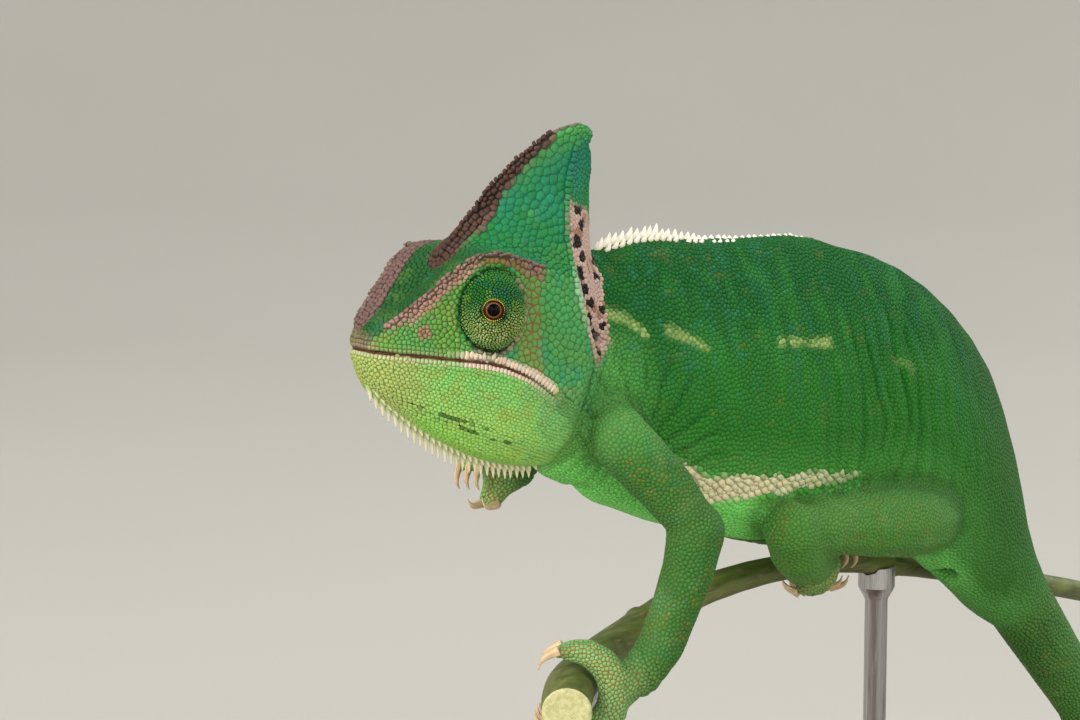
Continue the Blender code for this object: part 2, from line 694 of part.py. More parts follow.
def knuckle_rows(rows, grow=0.0):
    """The lower limb's rows, led in by a rounded end just past the elbow or knee."""
    joint = Vector(rows[0][:3])
    ahead = (Vector(rows[1][:3]) - joint).normalized()
    across, along = rows[0][3:]
    rounded = []
    for back, share in KNUCKLE:
        place = joint - ahead * (back * across + grow)
        rounded.append((*place, across * share, along * share))
    return rounded + rows


def limb_loft(name, rows, steps, reference, grow=0.0):
    rings = sweep_rings(rows, 0, len(rows) - 1, steps, LIMB_POINTS, reference, grow)
    return loft(name, rings, "skin_green")


def build_limb(limb, grip, toes, trunk_cutter, head_cutter):
    upper_name, lower_name, foot_name = LIMB_NAMES[limb]
    rows = LIMB_ROWS[limb]
    reference = Vector((-1 if "right" in limb else 1, 0, 0))
    widths = [TOE_WIDTHS[count] for count in toes]

    upper_rows = rows[:MIDDLE_JOINT + 1]
    *joint, across, along = upper_rows[-1]
    upper_rows[-1] = (*joint, across * SOCKET_FIT, along * SOCKET_FIT)
    lower_rows = rows[MIDDLE_JOINT:]

    upper = limb_loft(upper_name, upper_rows, UPPER_STEPS, reference)
    lower = limb_loft(lower_name, knuckle_rows(lower_rows), LOWER_STEPS, reference)
    lower_cutter = as_cutter(limb_loft(f"cut_{lower_name}", knuckle_rows(lower_rows, GAP),
                                       LOWER_STEPS, reference, GAP))
    foot_cutter = as_cutter(loft(f"cut_{foot_name}", foot_rings(grip, *widths, GAP),
                                 "skin_green"))
    for cutter in (trunk_cutter, head_cutter, lower_cutter):
        combine(upper, "DIFFERENCE", cutter)
    for cutter in (trunk_cutter, foot_cutter):
        combine(lower, "DIFFERENCE", cutter)
    weld(upper)
    weld(lower)
    loft(foot_name, foot_rings(grip, *widths), "skin_dark")
    build_claws(limb, grip, widths, toes)


# ---------------------------------------------------------------- stand

def base_outline():
    """The corners' arcs, one after another, with straight sides between them."""
    corners = []
    for quarter, (sx, sy) in enumerate(((1, 1), (-1, 1), (-1, -1), (1, -1))):
        middle_x = sx * (BASE_WIDTH / 2 - BASE_CORNER)
        middle_y = sy * (BASE_LENGTH / 2 - BASE_CORNER)
        for turn in stations(quarter, quarter + 1, BASE_CORNER_STEPS):
            angle = math.pi / 2 * turn
            corners.append(Vector((middle_x + BASE_CORNER * math.cos(angle),
                                   middle_y + BASE_CORNER * math.sin(angle), 0)))
    return corners


def build_base():
    bm = bmesh.new()
    outline = base_outline()
    lift = Vector((0, 0, BASE_HEIGHT))
    add_loft(bm, [outline, [corner + lift for corner in outline]])
    upper_edges = [edge for edge in bm.edges
                   if all(vert.co.z > BASE_HEIGHT * MM / 2 for vert in edge.verts)]
    bmesh.ops.bevel(bm, geom=upper_edges, offset=BASE_EDGE * MM, segments=2,
                    affect="EDGES", profile=0.5)
    mesh_object("stand_base", bm, "stand_wood")


def build_rod(place, station, stem_cutter):
    """A turned rod: a foot flange, a plain shank and a cup cut to the stem's shape."""
    middle, _axis, radius = stem_at(station)
    middle += THROAT
    floor = BASE_HEIGHT + GAP
    cup_floor = middle.z - radius - ROD_CUP_HEIGHT
    profile = [(ROD_FOOT_RADIUS, floor),
               (ROD_FOOT_RADIUS, floor + ROD_FOOT_HEIGHT * 0.7),
               (ROD_FOOT_RADIUS * 0.8, floor + ROD_FOOT_HEIGHT),
               (ROD_RADIUS, floor + ROD_FOOT_HEIGHT),
               (ROD_RADIUS, cup_floor),
               (ROD_CUP_RADIUS, cup_floor + ROD_CUP_HEIGHT / 2),
               (ROD_CUP_RADIUS, middle.z - radius * ROD_CUP_LIP)]
    rings = []
    for ring_radius, z in profile:
        centre = Vector((middle.x, middle.y, z))
        rings.append(oval(centre, Vector((1, 0, 0)), Vector((0, 1, 0)), ring_radius,
                          ring_radius, ROD_POINTS))
    rod = loft(f"stand_rod_{place}", rings, "stand_steel")
    combine(rod, "DIFFERENCE", stem_cutter)
    weld(rod)


# ---------------------------------------------------------------- assembly

def main():
    clear_scene()
    head_cutter = build_head()
    build_body(head_cutter)
    trunk_cutter = as_cutter(body_loft("cut_trunk", 0, BODY_LAST, 24, GAP))
    for limb, (grip, toes) in grips().items():
        build_limb(limb, grip, toes, trunk_cutter, head_cutter)
    loft("perch", stem_rings(), "stem_bark")
    build_base()
    stem_cutter = as_cutter(loft("cut_stem", stem_rings(GAP), "stem_bark"))
    for place, station in ROD_STATIONS.items():
        build_rod(place, station, stem_cutter)


main()
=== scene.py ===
"""Looks of a life-size veiled chameleon gripping a cut stem on a plain display stand.

One skin covers the whole animal and lies a scale's depth inside its solids. Scales, crest
cones, lid granules and claws are meshes of their own on that skin. Lengths are in
millimetres and turned into metres where a mesh is made. Body places are across, back and
up from the throat point, head places are forward, left and up from the same point.
"""

import contextlib
import math

import bmesh
import bpy
import numpy as np
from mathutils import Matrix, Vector
from mathutils.bvhtree import BVHTree
from mathutils.kdtree import KDTree


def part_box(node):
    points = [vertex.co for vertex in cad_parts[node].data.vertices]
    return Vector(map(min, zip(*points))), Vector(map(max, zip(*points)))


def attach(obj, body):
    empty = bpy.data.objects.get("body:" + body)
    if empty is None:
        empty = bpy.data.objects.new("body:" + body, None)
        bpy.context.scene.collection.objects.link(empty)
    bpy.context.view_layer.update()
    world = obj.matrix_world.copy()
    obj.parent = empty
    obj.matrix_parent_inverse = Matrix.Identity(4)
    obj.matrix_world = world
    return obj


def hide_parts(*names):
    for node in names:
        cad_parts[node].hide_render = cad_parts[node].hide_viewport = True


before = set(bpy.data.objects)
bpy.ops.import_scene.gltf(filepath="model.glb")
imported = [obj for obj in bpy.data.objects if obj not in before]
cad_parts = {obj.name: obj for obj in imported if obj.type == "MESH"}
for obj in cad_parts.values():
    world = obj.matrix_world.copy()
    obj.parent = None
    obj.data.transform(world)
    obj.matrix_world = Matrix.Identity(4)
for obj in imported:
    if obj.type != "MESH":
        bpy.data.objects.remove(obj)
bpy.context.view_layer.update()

MM = 0.001
WHOLE_TURN = 2 * math.pi
norm = np.linalg.norm
SCENE = bpy.context.scene

# ---------------------------------------------------------------- places in the frame

HEAD_TURN = math.radians(11)
FORWARD = np.array((-math.sin(HEAD_TURN), -math.cos(HEAD_TURN), 0.0))
LEFTWARD = np.array((math.cos(HEAD_TURN), -math.sin(HEAD_TURN), 0.0))
UPWARD = np.array((0.0, 0.0, 1.0))
HEAD_AXES = np.array((FORWARD, LEFTWARD, UPWARD))

LEFT_EYE_IN_HEAD = np.array((13.52, 10.71, 23.41))
TURRET_IN_HEAD = np.array((12.3, 8.9, 23.1))
TURRET_RADII = np.array((4.39, 4.39, 5.1))
GAZES = {"left": np.array((0.554, 0.821, 0.139)), "right": np.array((0.83, -0.555, 0.05))}


def node_middle(node):
    low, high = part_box(node)
    return np.array((low + high) / 2) / MM


THROAT = node_middle("eye_left") - LEFT_EYE_IN_HEAD @ HEAD_AXES
EYE_CENTRES = {side: node_middle(f"eye_{side}") - THROAT for side in GAZES}


def in_head(points):
    """Body places as head places."""
    return points @ HEAD_AXES.T


def from_head(points):
    return np.asarray(points, float) @ HEAD_AXES


TURRET_CENTRES = {"left": from_head(TURRET_IN_HEAD),
                  "right": from_head(TURRET_IN_HEAD * (1, -1, 1))}
GAZE_LINES = {side: from_head(gaze) for side, gaze in GAZES.items()}

HEAD_NODES = ["casque", "head", "lower_jaw", "eye_turret_left", "eye_turret_right"]
BODY_NODES = ["neck", "trunk"]
TAIL_NODES = ["tail_root", "tail_middle", "tail_curl", "tail_tip"]
ARM_NODES = [f"{part}_{side}" for side in ("left", "right") for part in
             ("upper_arm", "forearm", "hand")]
LEG_NODES = [f"{part}_{side}" for side in ("left", "right") for part in ("thigh", "shin", "foot")]
FLESH = HEAD_NODES + BODY_NODES + TAIL_NODES + ARM_NODES + LEG_NODES
SKULL_NODES = ["head", "casque"]
LID_NODES = ["eye_turret_left", "eye_turret_right"]
FOOT_NODES = ["hand_left", "hand_right", "foot_left", "foot_right"]
FEET = ["front_left", "front_right", "hind_left", "hind_right"]


def on(owner, *nodes):
    return np.isin(owner, [FLESH.index(node) for node in nodes])


# ---------------------------------------------------------------- small tools

def rise(low, high, values):
    share = np.clip((values - low) / (high - low), 0.0, 1.0)
    return share * share * (3 - 2 * share)


def fall(low, high, values):
    return 1 - rise(low, high, values)


def bump(values, middle, width):
    return np.exp(-((values - middle) / width) ** 2)


def lattice(x, y, z, seed):
    """A number from 0 to 1 for each whole-number place."""
    mix = (x * 73856093) ^ (y * 19349663) ^ (z * 83492791) ^ (seed * 2654435761)
    mix &= 0xFFFFFFFF
    mix = ((mix ^ (mix >> 15)) * 2246822519) & 0xFFFFFFFF
    mix = ((mix ^ (mix >> 13)) * 3266489917) & 0xFFFFFFFF
    return ((mix ^ (mix >> 16)) & 0xFFFF) / 65535


def mottle(points, size, seed):
    """Smooth noise from -1 to 1 with blotches of about that size, per axis or all round."""
    places = points / np.asarray(size, float) + 100
    cell = np.floor(places).astype(np.int64)
    part = places - cell
    part = part * part * (3 - 2 * part)
    total = np.zeros(len(points))
    for corner in range(8):
        step = np.array((corner & 1, corner >> 1 & 1, corner >> 2 & 1))
        at = cell + step
        weight = np.where(step, part, 1 - part).prod(axis=1)
        total += weight * lattice(at[:, 0], at[:, 1], at[:, 2], seed)
    return total * 2 - 1


def swatch(red, green, blue):
    """A colour given as 0 to 255 display values, in linear light."""
    value = np.array((red, green, blue)) / 255
    return np.where(value <= 0.04045, value / 12.92, ((value + 0.055) / 1.055) ** 2.4)


def line_distance(points, line):
    """Distance to a line of straight runs, and how far along it the nearest place lies."""
    line = np.asarray(line, float)
    best = np.full(len(points), np.inf)
    along = np.zeros(len(points))
    start = 0.0
    for first, last in zip(line, line[1:]):
        run = last - first
        length = norm(run)
        share = np.clip((points - first) @ run / length ** 2, 0, 1)
        far = norm(points - first - share[:, None] * run, axis=1)
        nearer = far < best
        best = np.where(nearer, far, best)
        along = np.where(nearer, start + share * length, along)
        start += length
    return best, along


def walk_line(line, pitch):
    """Places a pitch apart along a line, with the direction at each."""
    line = np.asarray(line, float)
    runs = norm(np.diff(line, axis=0), axis=1)
    marks = np.concatenate(([0], np.cumsum(runs)))
    steps = np.arange(0, marks[-1] + 1e-9, pitch)
    behind, places, ahead = (np.stack([np.interp(steps + ahead * pitch / 2, marks, line[:, axis])
                                       for axis in range(3)], axis=1) for ahead in (-1, 0, 1))
    heading = ahead - behind
    return places, heading / norm(heading, axis=1)[:, None]


def unit(vectors):
    return vectors / np.maximum(norm(vectors, axis=-1, keepdims=True), 1e-9)


def link(piece):
    SCENE.collection.objects.link(piece)
    return piece


def choose(piece):
    for other in bpy.context.selected_objects:
        other.select_set(False)
    piece.select_set(True)
    bpy.context.view_layer.objects.active = piece


def set_mode(name):
    bpy.ops.object.mode_set(mode=name)


def apply_modifiers(piece):
    choose(piece)
    for modifier in list(piece.modifiers):
        bpy.ops.object.modifier_apply(modifier=modifier.name)


@contextlib.contextmanager
def opened(mesh):
    """The mesh's corners and faces, open to change and put back afterwards."""
    bm = bmesh.new()
    bm.from_mesh(mesh)
    yield bm
    bm.to_mesh(mesh)
    bm.free()


def read_array(items, field, width, kind=np.float32):
    flat = np.empty(len(items) * width, kind)
    items.foreach_get(field, flat)
    return flat.reshape(-1, width)


def points_of(mesh):
    return read_array(mesh.vertices, "co", 3).astype(float) / MM - THROAT


def put_points(mesh, points):
    mesh.vertices.foreach_set("co", ((points + THROAT) * MM).astype(np.float32).ravel())
    mesh.update()


def normals_of(mesh):
    return read_array(mesh.vertex_normals, "vector", 3).astype(float)


def paint_points(mesh, colours):
    """Stores one linear colour for each point as the attribute that materials read."""
    layer = mesh.attributes.new("paint", "FLOAT_COLOR", "POINT")
    flat = np.ones((len(mesh.vertices), 4), np.float32)
    flat[:, :3] = colours
    layer.data.foreach_set("color", flat.ravel())


def put_bake(mesh, uv):
    layer = mesh.uv_layers.new(name="OFBake")
    layer.data.foreach_set("uv", uv.astype(np.float32).ravel())


def mesh_piece(name, points, faces, colours=None, uv=None):
    """A new smooth-shaded piece from body places and faces."""
    mesh = bpy.data.meshes.new(name)
    mesh.from_pydata(((np.asarray(points) + THROAT) * MM).tolist(), [],
                     [list(face) for face in faces])
    mesh.update()
    mesh.shade_smooth()
    if colours is not None:
        paint_points(mesh, colours)
    if uv is not None:
        put_bake(mesh, uv[read_array(mesh.loops, "vertex_index", 1, np.int32)[:, 0]])
    return link(bpy.data.objects.new(name, mesh))


def tube_faces(rings, sides, start=0):
    """Faces between rings of points that follow each other."""
    faces = []
    for ring in range(rings - 1):
        low, high = start + ring * sides, start + (ring + 1) * sides
        for side in range(sides):
            after = (side + 1) % sides
            faces.append((low + side, low + after, high + after, high + side))
    return faces


def fan_faces(first, sides, tip):
    """Faces from a ring to the one point that closes it."""
    return [(first + side, first + (side + 1) % sides, tip) for side in range(sides)]


# ---------------------------------------------------------------- lines on the head

# Half of each line; the other half is mirrored. Forward, left and up.
MOUTH_LINE = np.array([(28, 0, 18.4), (27.3, 2.2, 18.2), (25.6, 4.4, 18), (22, 6.6, 17.6),
                       (18.5, 8, 17.1), (15.5, 8.8, 16.7), (13.2, 9.2, 16.3), (11, 9.7, 15.7),
                       (9.1, 9.9, 14.9), (7.6, 10, 14.2), (6.3, 10.1, 13.4), (5, 10.1, 12.5),
                       (4, 10.1, 11.7), (3.2, 10.1, 11.1)])
BROW_LINE = np.array([(25.6, 4.3, 21.8), (24, 5.4, 23), (21, 6.8, 25.3), (18.5, 7.9, 27.8),
                      (16.8, 8.6, 29.2), (15, 9.1, 30.4), (13, 9.4, 30.8), (11, 9.4, 30.6),
                      (8.8, 9.2, 30.1), (6.4, 8.8, 29.2), (4, 8.5, 28.2)])
CREST_LINE = np.array([(14.6, 0, 29.8), (13.9, 0, 30.7), (13, 0, 31.9), (10.9, 0, 34.3),
                       (8.8, 0, 36.6), (6.4, 0, 38.9), (4, 0, 40.9), (2, 0, 42.4),
                       (0, 0, 43.6), (-2.6, 0, 45.2)])
TIP_LINE = np.array([(-3.3, 0, 45.5), (-4.9, 0, 46.1), (-6.6, 0, 46.3),
                     (-8.2, 0, 46), (-9.3, 0, 45), (-9.5, 0, 43.2)])
REAR_LINE = np.array([(-6.6, 1, 43.5), (-4.9, 2.9, 40), (-3.3, 4.7, 36), (-2, 6.4, 31.5),
                      (-1.4, 7.8, 27), (-1.8, 8.1, 22.5), (-3, 7.6, 18), (-4.9, 6.5, 15)])
NOSTRIL = np.array((21.3, 6.5, 20.6))
JAW_SEAM = np.array([(3.6, 10.1, 11.5), (1.6, 9.3, 9.6), (-0.5, 8.4, 7.6), (-2.5, 7.4, 5.6)])


def outside_brow(half):
    """1 below and outside the brow line of the head, 0 above and inside it."""
    forward, left, up = half.T
    return rise(-0.1, 0.3, 0.8 * (line_at(BROW_LINE, forward, 0, 2) - up)
                - (line_at(BROW_LINE, forward, 0, 1) - left))


def line_at(line, values, known, wanted):
    """One coordinate of a line where another has the given values."""
    return np.interp(values, line[::-1, known], line[::-1, wanted])


def mirrored(points):
    """Head places with their left coordinate made positive."""
    return points * (1, 0, 1) + np.abs(points) * (0, 1, 0)


# ---------------------------------------------------------------- the skin

SKIN_VOXEL = 0.7
SKIN_GROWTH = 0.22              # closes the gaps between the solids while they are fused
COAT_DEPTH = 0.28               # the scales' thickness over the skin
CONE_HEIGHT = 0.9               # a point that stands further out than this is a crest cone
RIM_RADIUS = 0.95
RIM_LOWEST = 34.0
RIM_MIDDLE = np.array((-3.0, 0.0, 38.0))
RIM_SIDES = 12


def fused_copy(node):
    """A merged, slightly grown copy of a node, without the crest cones on it."""
    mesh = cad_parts[node].data.copy()
    with opened(mesh) as bm:
        bmesh.ops.remove_doubles(bm, verts=bm.verts, dist=1e-6)
        moves = []
        for vert in bm.verts if node in ("lower_jaw", "trunk") else ():
            place = np.array(vert.co) / MM - THROAT
            across = in_head(place)[1] if node == "lower_jaw" else place[0]
            near = [edge.other_vert(vert).co for edge in vert.link_edges]
            middle = sum(near, Vector()) / len(near)
            if abs(across) < 0.1 and (vert.co - middle).length > CONE_HEIGHT * MM:
                moves.append((vert, middle))
        for vert, middle in moves:
            vert.co = middle
        bm.normal_update()
        for vert in bm.verts:
            vert.co += vert.normal * SKIN_GROWTH * MM
    return link(bpy.data.objects.new(f"fused_{node}", mesh))


def casque_rim():
    """A round bar just inside the casque's outline; the fused skin keeps its thin edge."""
    head = in_head(points_of(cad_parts["casque"].data))
    outline = head[(np.abs(head[:, 1]) < 0.05) & (head[:, 2] > RIM_LOWEST)]
    outline = np.unique(outline.round(3), axis=0)
    turn = np.arctan2(outline[:, 2] - RIM_MIDDLE[2], outline[:, 0] - RIM_MIDDLE[0])
    outline = outline[np.argsort(np.where(turn < -1.5, turn + WHOLE_TURN, turn))]
    ahead = unit(np.gradient(outline, axis=0))
    inward = np.cross(ahead, (0.0, 1.0, 0.0))
    inward *= np.sign(((RIM_MIDDLE - outline) * inward).sum(axis=1))[:, None]
    points = []
    for centre, toward in zip(outline + inward * RIM_RADIUS, inward):
        for side in range(RIM_SIDES):
            angle = WHOLE_TURN * side / RIM_SIDES
            points.append(centre + (RIM_RADIUS + SKIN_GROWTH) * (
                math.cos(angle) * toward + math.sin(angle) * np.array((0, 1.0, 0))))
    faces = tube_faces(len(outline), RIM_SIDES)
    faces.append(tuple(reversed(range(RIM_SIDES))))
    faces.append(tuple(range(len(points) - RIM_SIDES, len(points))))
    piece = mesh_piece("casque_rim", from_head(points), faces)
    tidy_normals(piece)
    return piece


def fuse_flesh():
    """One closed mesh round all the flesh, with the solid that each place belongs to."""
    eyes = [fused_copy(f"eye_{side}") for side in GAZES] + [casque_rim()]
    copies = [fused_copy(node) for node in FLESH]
    corners, faces, owners = [], [], []
    for index, copy in enumerate(copies):
        base = len(corners)
        corners += [vert.co.copy() for vert in copy.data.vertices]
        for polygon in copy.data.polygons:
            faces.append([base + corner for corner in polygon.vertices])
            owners.append(index)
    search = BVHTree.FromPolygons(corners, faces)
    choose(copies[0])
    for copy in copies[1:] + eyes:
        copy.select_set(True)
    bpy.ops.object.join()
    skin = bpy.context.view_layer.objects.active
    skin.name = skin.data.name = "skin"
    remesh = skin.modifiers.new("fuse", "REMESH")
    remesh.mode = "VOXEL"
    remesh.voxel_size = SKIN_VOXEL * MM
    apply_modifiers(skin)
    return skin, search, np.array(owners)


def owners_of(points, search, owners):
    places = (points + THROAT) * MM
    return np.array([owners[search.find_nearest(Vector(place))[2]] for place in places])


def relax(points, edges, strength, rounds):
    """Evens a surface out without shrinking it; strength is given for each point."""
    first, second = edges[:, 0], edges[:, 1]
    count = np.bincount(first, minlength=len(points)) + np.bincount(second, minlength=len(points))
    count = np.maximum(count, 1)[:, None]
    for step in range(rounds * 2):
        total = np.empty_like(points)
        for axis in range(3):
            total[:, axis] = np.bincount(first, points[second, axis], len(points))
            total[:, axis] += np.bincount(second, points[first, axis], len(points))
        share = 0.6 if step % 2 == 0 else -0.63
        points = points + (total / count - points) * (share * strength)[:, None]
    return points


def edges_of(mesh):
    return read_array(mesh.edges, "vertices", 2, np.int32)


def refine(piece, wanted):
    """Splits the faces whose middle the test accepts into four."""
    mesh = piece.data
    mask = wanted(read_array(mesh.polygons, "center", 3).astype(float) / MM - THROAT)
    choose(piece)
    set_mode("EDIT")
    bpy.ops.mesh.select_mode(type="FACE")
    bpy.ops.mesh.select_all(action="DESELECT")
    set_mode("OBJECT")
    mesh.polygons.foreach_set("select", mask)
    set_mode("EDIT")
    bpy.ops.mesh.subdivide(number_cuts=1, smoothness=0.0)
    bpy.ops.mesh.select_all(action="DESELECT")
    set_mode("OBJECT")


def eye_radius(points, side):
    """Distance from the line of sight, and the depth along it."""
    away = points - TURRET_CENTRES[side]
    depth = away @ GAZE_LINES[side]
    return norm(away - depth[:, None] * GAZE_LINES[side], axis=1), depth


def near_eyes(points, reach):
    near = np.zeros(len(points), bool)
    for side in GAZES:
        radius, depth = eye_radius(points, side)
        near |= (radius < reach) & (depth > 0)
    return near


def turret_share(points, side):
    """1 on the turret's own surface, more outside it."""
    away = in_head(points - TURRET_CENTRES[side]) / TURRET_RADII
    return norm(away, axis=1)


LID_OPENING = 1.08
LID_PIT = 1.0


def crease(phase):
    """Narrow valleys, one for each full turn of the phase."""
    return (0.5 + 0.5 * np.cos(phase)) ** 4


def flank_creases(points):
    """Soft ripples of the flanks, and the narrow valleys behind the arm and far back."""
    across, back, up = points.T
    flank = rise(3, 7, np.abs(across))
    lean = back + 0.12 * up + mottle(points, 9, 3) * 2.6
    rear = flank * rise(40, 56, back) * (1 - 0.75 * rise(66, 78, back))
    rear *= rise(-16, -8, up) * fall(10, 22, up)
    rear *= fall(86, 98, back)
    ripple = rear * 0.2 * np.sin(lean * WHOLE_TURN / 3.9)
    uneven = 0.4 + 0.6 * rise(-0.5, 0.4, mottle(points, (5, 3.5, 8), 12))
    valley = rear * uneven * 0.7 * crease(lean * WHOLE_TURN / 3.7)
    valley += rear * (1.3 - uneven) * 0.35 * crease(lean * WHOLE_TURN / 2.3 + 1)
    fan = np.stack((back - 10.5, up + 1), axis=1)
    angle = np.arctan2(fan[:, 1], fan[:, 0])
    reach = norm(fan, axis=1)
    armpit = flank * rise(3.5, 6, reach) * fall(12, 20, reach)
    turn = angle * 22 + mottle(points, 5, 5) * 1.5
    ripple += armpit * 0.1 * np.sin(turn + 1.5)
    valley += armpit * 0.55 * crease(turn)
    collar = rise(1.5, 3, np.abs(across)) * fall(8, 12, back)
    collar *= fall(14, 20, up)
    lean = back * 0.9 - up * 0.35 + mottle(points, 9, 3) * 1.6
    valley += collar * 0.35 * crease(lean * WHOLE_TURN / 1.9)
    return ripple, valley


def fold_depths(points, owner):
    """How far the skin moves out (or in, below zero) at each place, in millimetres."""
    head = in_head(points)
    half = mirrored(head)
    amount = np.zeros(len(points))
    on_head = on(owner, *HEAD_NODES)
    on_body = on(owner, *BODY_NODES)
    for line, height, middle, width in ((MOUTH_LINE, -0.45, 0, 0.2), (MOUTH_LINE, 0.22, 1, 0.55),
                                        (BROW_LINE, 0.35, 0, 0.8), (CREST_LINE, 0.2, 0, 0.9),
                                        (REAR_LINE, 0.3, 0, 0.9)):
        amount += on_head * height * bump(line_distance(half, line)[0], middle, width)
    forward, left, up = half.T
    depth = line_at(REAR_LINE, up, 2, 0) - forward
    edge_left = line_at(REAR_LINE, up, 2, 1)
    bevel = rise(0.4, 2.2, depth) * rise(-2.4, -1.2, left - edge_left)
    bevel *= rise(15, 19, up) * fall(34, 40, up)
    amount -= on_head * 0.7 * bevel
    nostril = norm((half - NOSTRIL) * (0.8, 0.8, 1.1), axis=1)
    amount += on_head * (0.14 * bump(nostril, 0.75, 0.35) - 0.5 * bump(nostril, 0, 0.3))

    for side in GAZES:
        share = turret_share(points, side)
        beside = on_head & (np.sign(head[:, 1]) == np.sign(GAZES[side][1]))
        on_skull = beside & on(owner, "head")
        amount -= on_skull * 0.55 * bump(share, 1.06, 0.05)
        amount += on_skull * 0.35 * bump(share, 1.22, 0.07)
        radius, depth = eye_radius(points, side)
        facing = beside & (depth > 2)
        amount -= facing * LID_PIT * fall(LID_OPENING - 0.2, LID_OPENING, radius)
        amount += facing * 0.22 * bump(radius, LID_OPENING + 0.25, 0.2)

    _across, back, up = points.T
    ripple, valley = flank_creases(points)
    amount += on_body * (ripple - valley)
    jaw_line = on_body * fall(9, 14, back)
    return amount - jaw_line * 0.35 * bump(back + 0.12 * (up - 10) ** 2 / 10, 2.6, 0.9)


def limb_creases(points, owner):
    """Creases across the inside of the elbows, knees, wrists and ankles."""
    amount = np.zeros(len(points))
    for upper, lower, foot in (("upper_arm", "forearm", "hand"), ("thigh", "shin", "foot")):
        for side in ("left", "right"):
            far = norm(points - (node_middle(f"{foot}_{side}") - THROAT), axis=1)
            ring = on(owner, f"{lower}_{side}", f"{foot}_{side}") * bump(far, 8, 3)
            amount -= ring * 0.3 * crease(far * WHOLE_TURN / 1.5)
            elbow = on(owner, f"{upper}_{side}", f"{lower}_{side}")
            amount += elbow * mottle(points, 2.5, 11) * 0.06
    return amount


def toe_grooves(points, owner):
    """Shallow grooves between the fused toes of each bundle."""
    amount = np.zeros(len(points))
    for foot, node in zip(FEET, FOOT_NODES):
        claws = [node_middle(f"claw_{foot}_{number}") - THROAT for number in range(1, 6)]
        bundles = ((0, 1), (2, 3, 4)) if foot in ("front_left", "hind_right") else \
            ((0, 1, 2), (3, 4))
        for bundle in bundles:
            for first, second in zip(bundle, bundle[1:]):
                middle = (claws[first] + claws[second]) / 2
                across = unit(claws[second] - claws[first])
                near = norm(points - middle, axis=1)
                beside = np.abs((points - middle) @ across)
                amount -= 0.4 * on(owner, node) * bump(beside, 0, 0.35) * fall(4, 8, near)
    return amount


def build_skin():
    skin, search, owners = fuse_flesh()
    points = points_of(skin.data)
    owner = owners_of(points, search, owners)
    strength = np.ones(len(points))
    for nodes, share in ((SKULL_NODES + ["lower_jaw"], 0.55), (LID_NODES, 0.5),
                         (ARM_NODES + LEG_NODES, 0.7), (["tail_tip"], 0.3)):
        strength[on(owner, *nodes)] = share
    edges = edges_of(skin.data)
    rounded = relax(points, edges, strength, 34)
    calm = relax(points, edges, np.full(len(points), 0.6), 7)
    keep = on(owner, *HEAD_NODES, "tail_tip", "tail_curl", *FOOT_NODES)
    points = np.where(keep[:, None], calm, rounded)
    put_points(skin.data, points)
    points = points - normals_of(skin.data) * (SKIN_GROWTH + COAT_DEPTH)
    put_points(skin.data, points)

    choose(skin)
    set_mode("EDIT")
    bpy.ops.mesh.select_all(action="SELECT")
    bpy.ops.uv.smart_project(angle_limit=math.radians(66), island_margin=0.002)
    set_mode("OBJECT")
    skin.data.uv_layers[0].name = "OFBake"

    refine(skin, lambda middles: on(owners_of(middles, search, owners), *HEAD_NODES))
    refine(skin, lambda middles: near_eyes(middles, 2))
    points = points_of(skin.data)
    owner = owners_of(points, search, owners)
    points = relax(points, edges_of(skin.data), on(owner, *HEAD_NODES) * 0.6, 3)
    put_points(skin.data, points)
    moved = fold_depths(points, owner) + limb_creases(points, owner)
    moved += toe_grooves(points, owner)
    points = points + normals_of(skin.data) * moved[:, None]
    put_points(skin.data, points)
    triangulate = skin.modifiers.new("triangles", "TRIANGULATE")
    triangulate.quad_method = "BEAUTY"
    apply_modifiers(skin)
    skin.data.shade_smooth()
    return skin, search, owners


class Surface:
    """The finished skin, ready to be searched."""

    def __init__(self, skin, search, owners):
        mesh = skin.data
        self.points = points_of(mesh)
        self.normals = normals_of(mesh)
        self.triangles = read_array(mesh.loops, "vertex_index", 1, np.int32).reshape(-1, 3)
        self.uv = read_array(mesh.uv_layers["OFBake"].data, "uv", 2).reshape(-1, 3, 2)
        self.tree = BVHTree.FromPolygons(self.points.tolist(), self.triangles.tolist())
        self.search = search
        self.owners = owners

    def owner(self, points):
        return owners_of(points, self.search, self.owners)

    def settle(self, points):
        """The nearest places on the skin, with their normals and bake places."""
        found = [self.tree.find_nearest(Vector(point)) for point in points]
        places = np.array([hit[0] for hit in found])
        faces = np.array([hit[2] for hit in found])
        corners = self.points[self.triangles[faces]]
        shares = self.shares(places, corners)
        normals = unit((self.normals[self.triangles[faces]] * shares[..., None]).sum(axis=1))
        uv = (self.uv[faces] * shares[..., None]).sum(axis=1)
        return places, normals, uv

    @staticmethod
    def shares(places, corners):
        """How near each place is to each of its triangle's corners, adding up to 1."""
        side_a = corners[:, 1] - corners[:, 0]
        side_b = corners[:, 2] - corners[:, 0]
        away = places - corners[:, 0]
        aa, ab, bb = ((side_a * side_a).sum(1), (side_a * side_b).sum(1),
                      (side_b * side_b).sum(1))
        ca, cb = (away * side_a).sum(1), (away * side_b).sum(1)
        whole = np.maximum(aa * bb - ab * ab, 1e-12)
        second = np.clip((bb * ca - ab * cb) / whole, 0, 1)
        third = np.clip((aa * cb - ab * ca) / whole, 0, 1 - second)
        return np.stack((1 - second - third, second, third), axis=1)

    def cast(self, start, heading):
        hit = self.tree.ray_cast(Vector(start), Vector(heading))
        return None if hit[0] is None else np.array(hit[0])

    def cast_all(self, starts, heading):
        hits = [self.cast(start, heading) for start in starts]
        return np.array([hit for hit in hits if hit is not None])


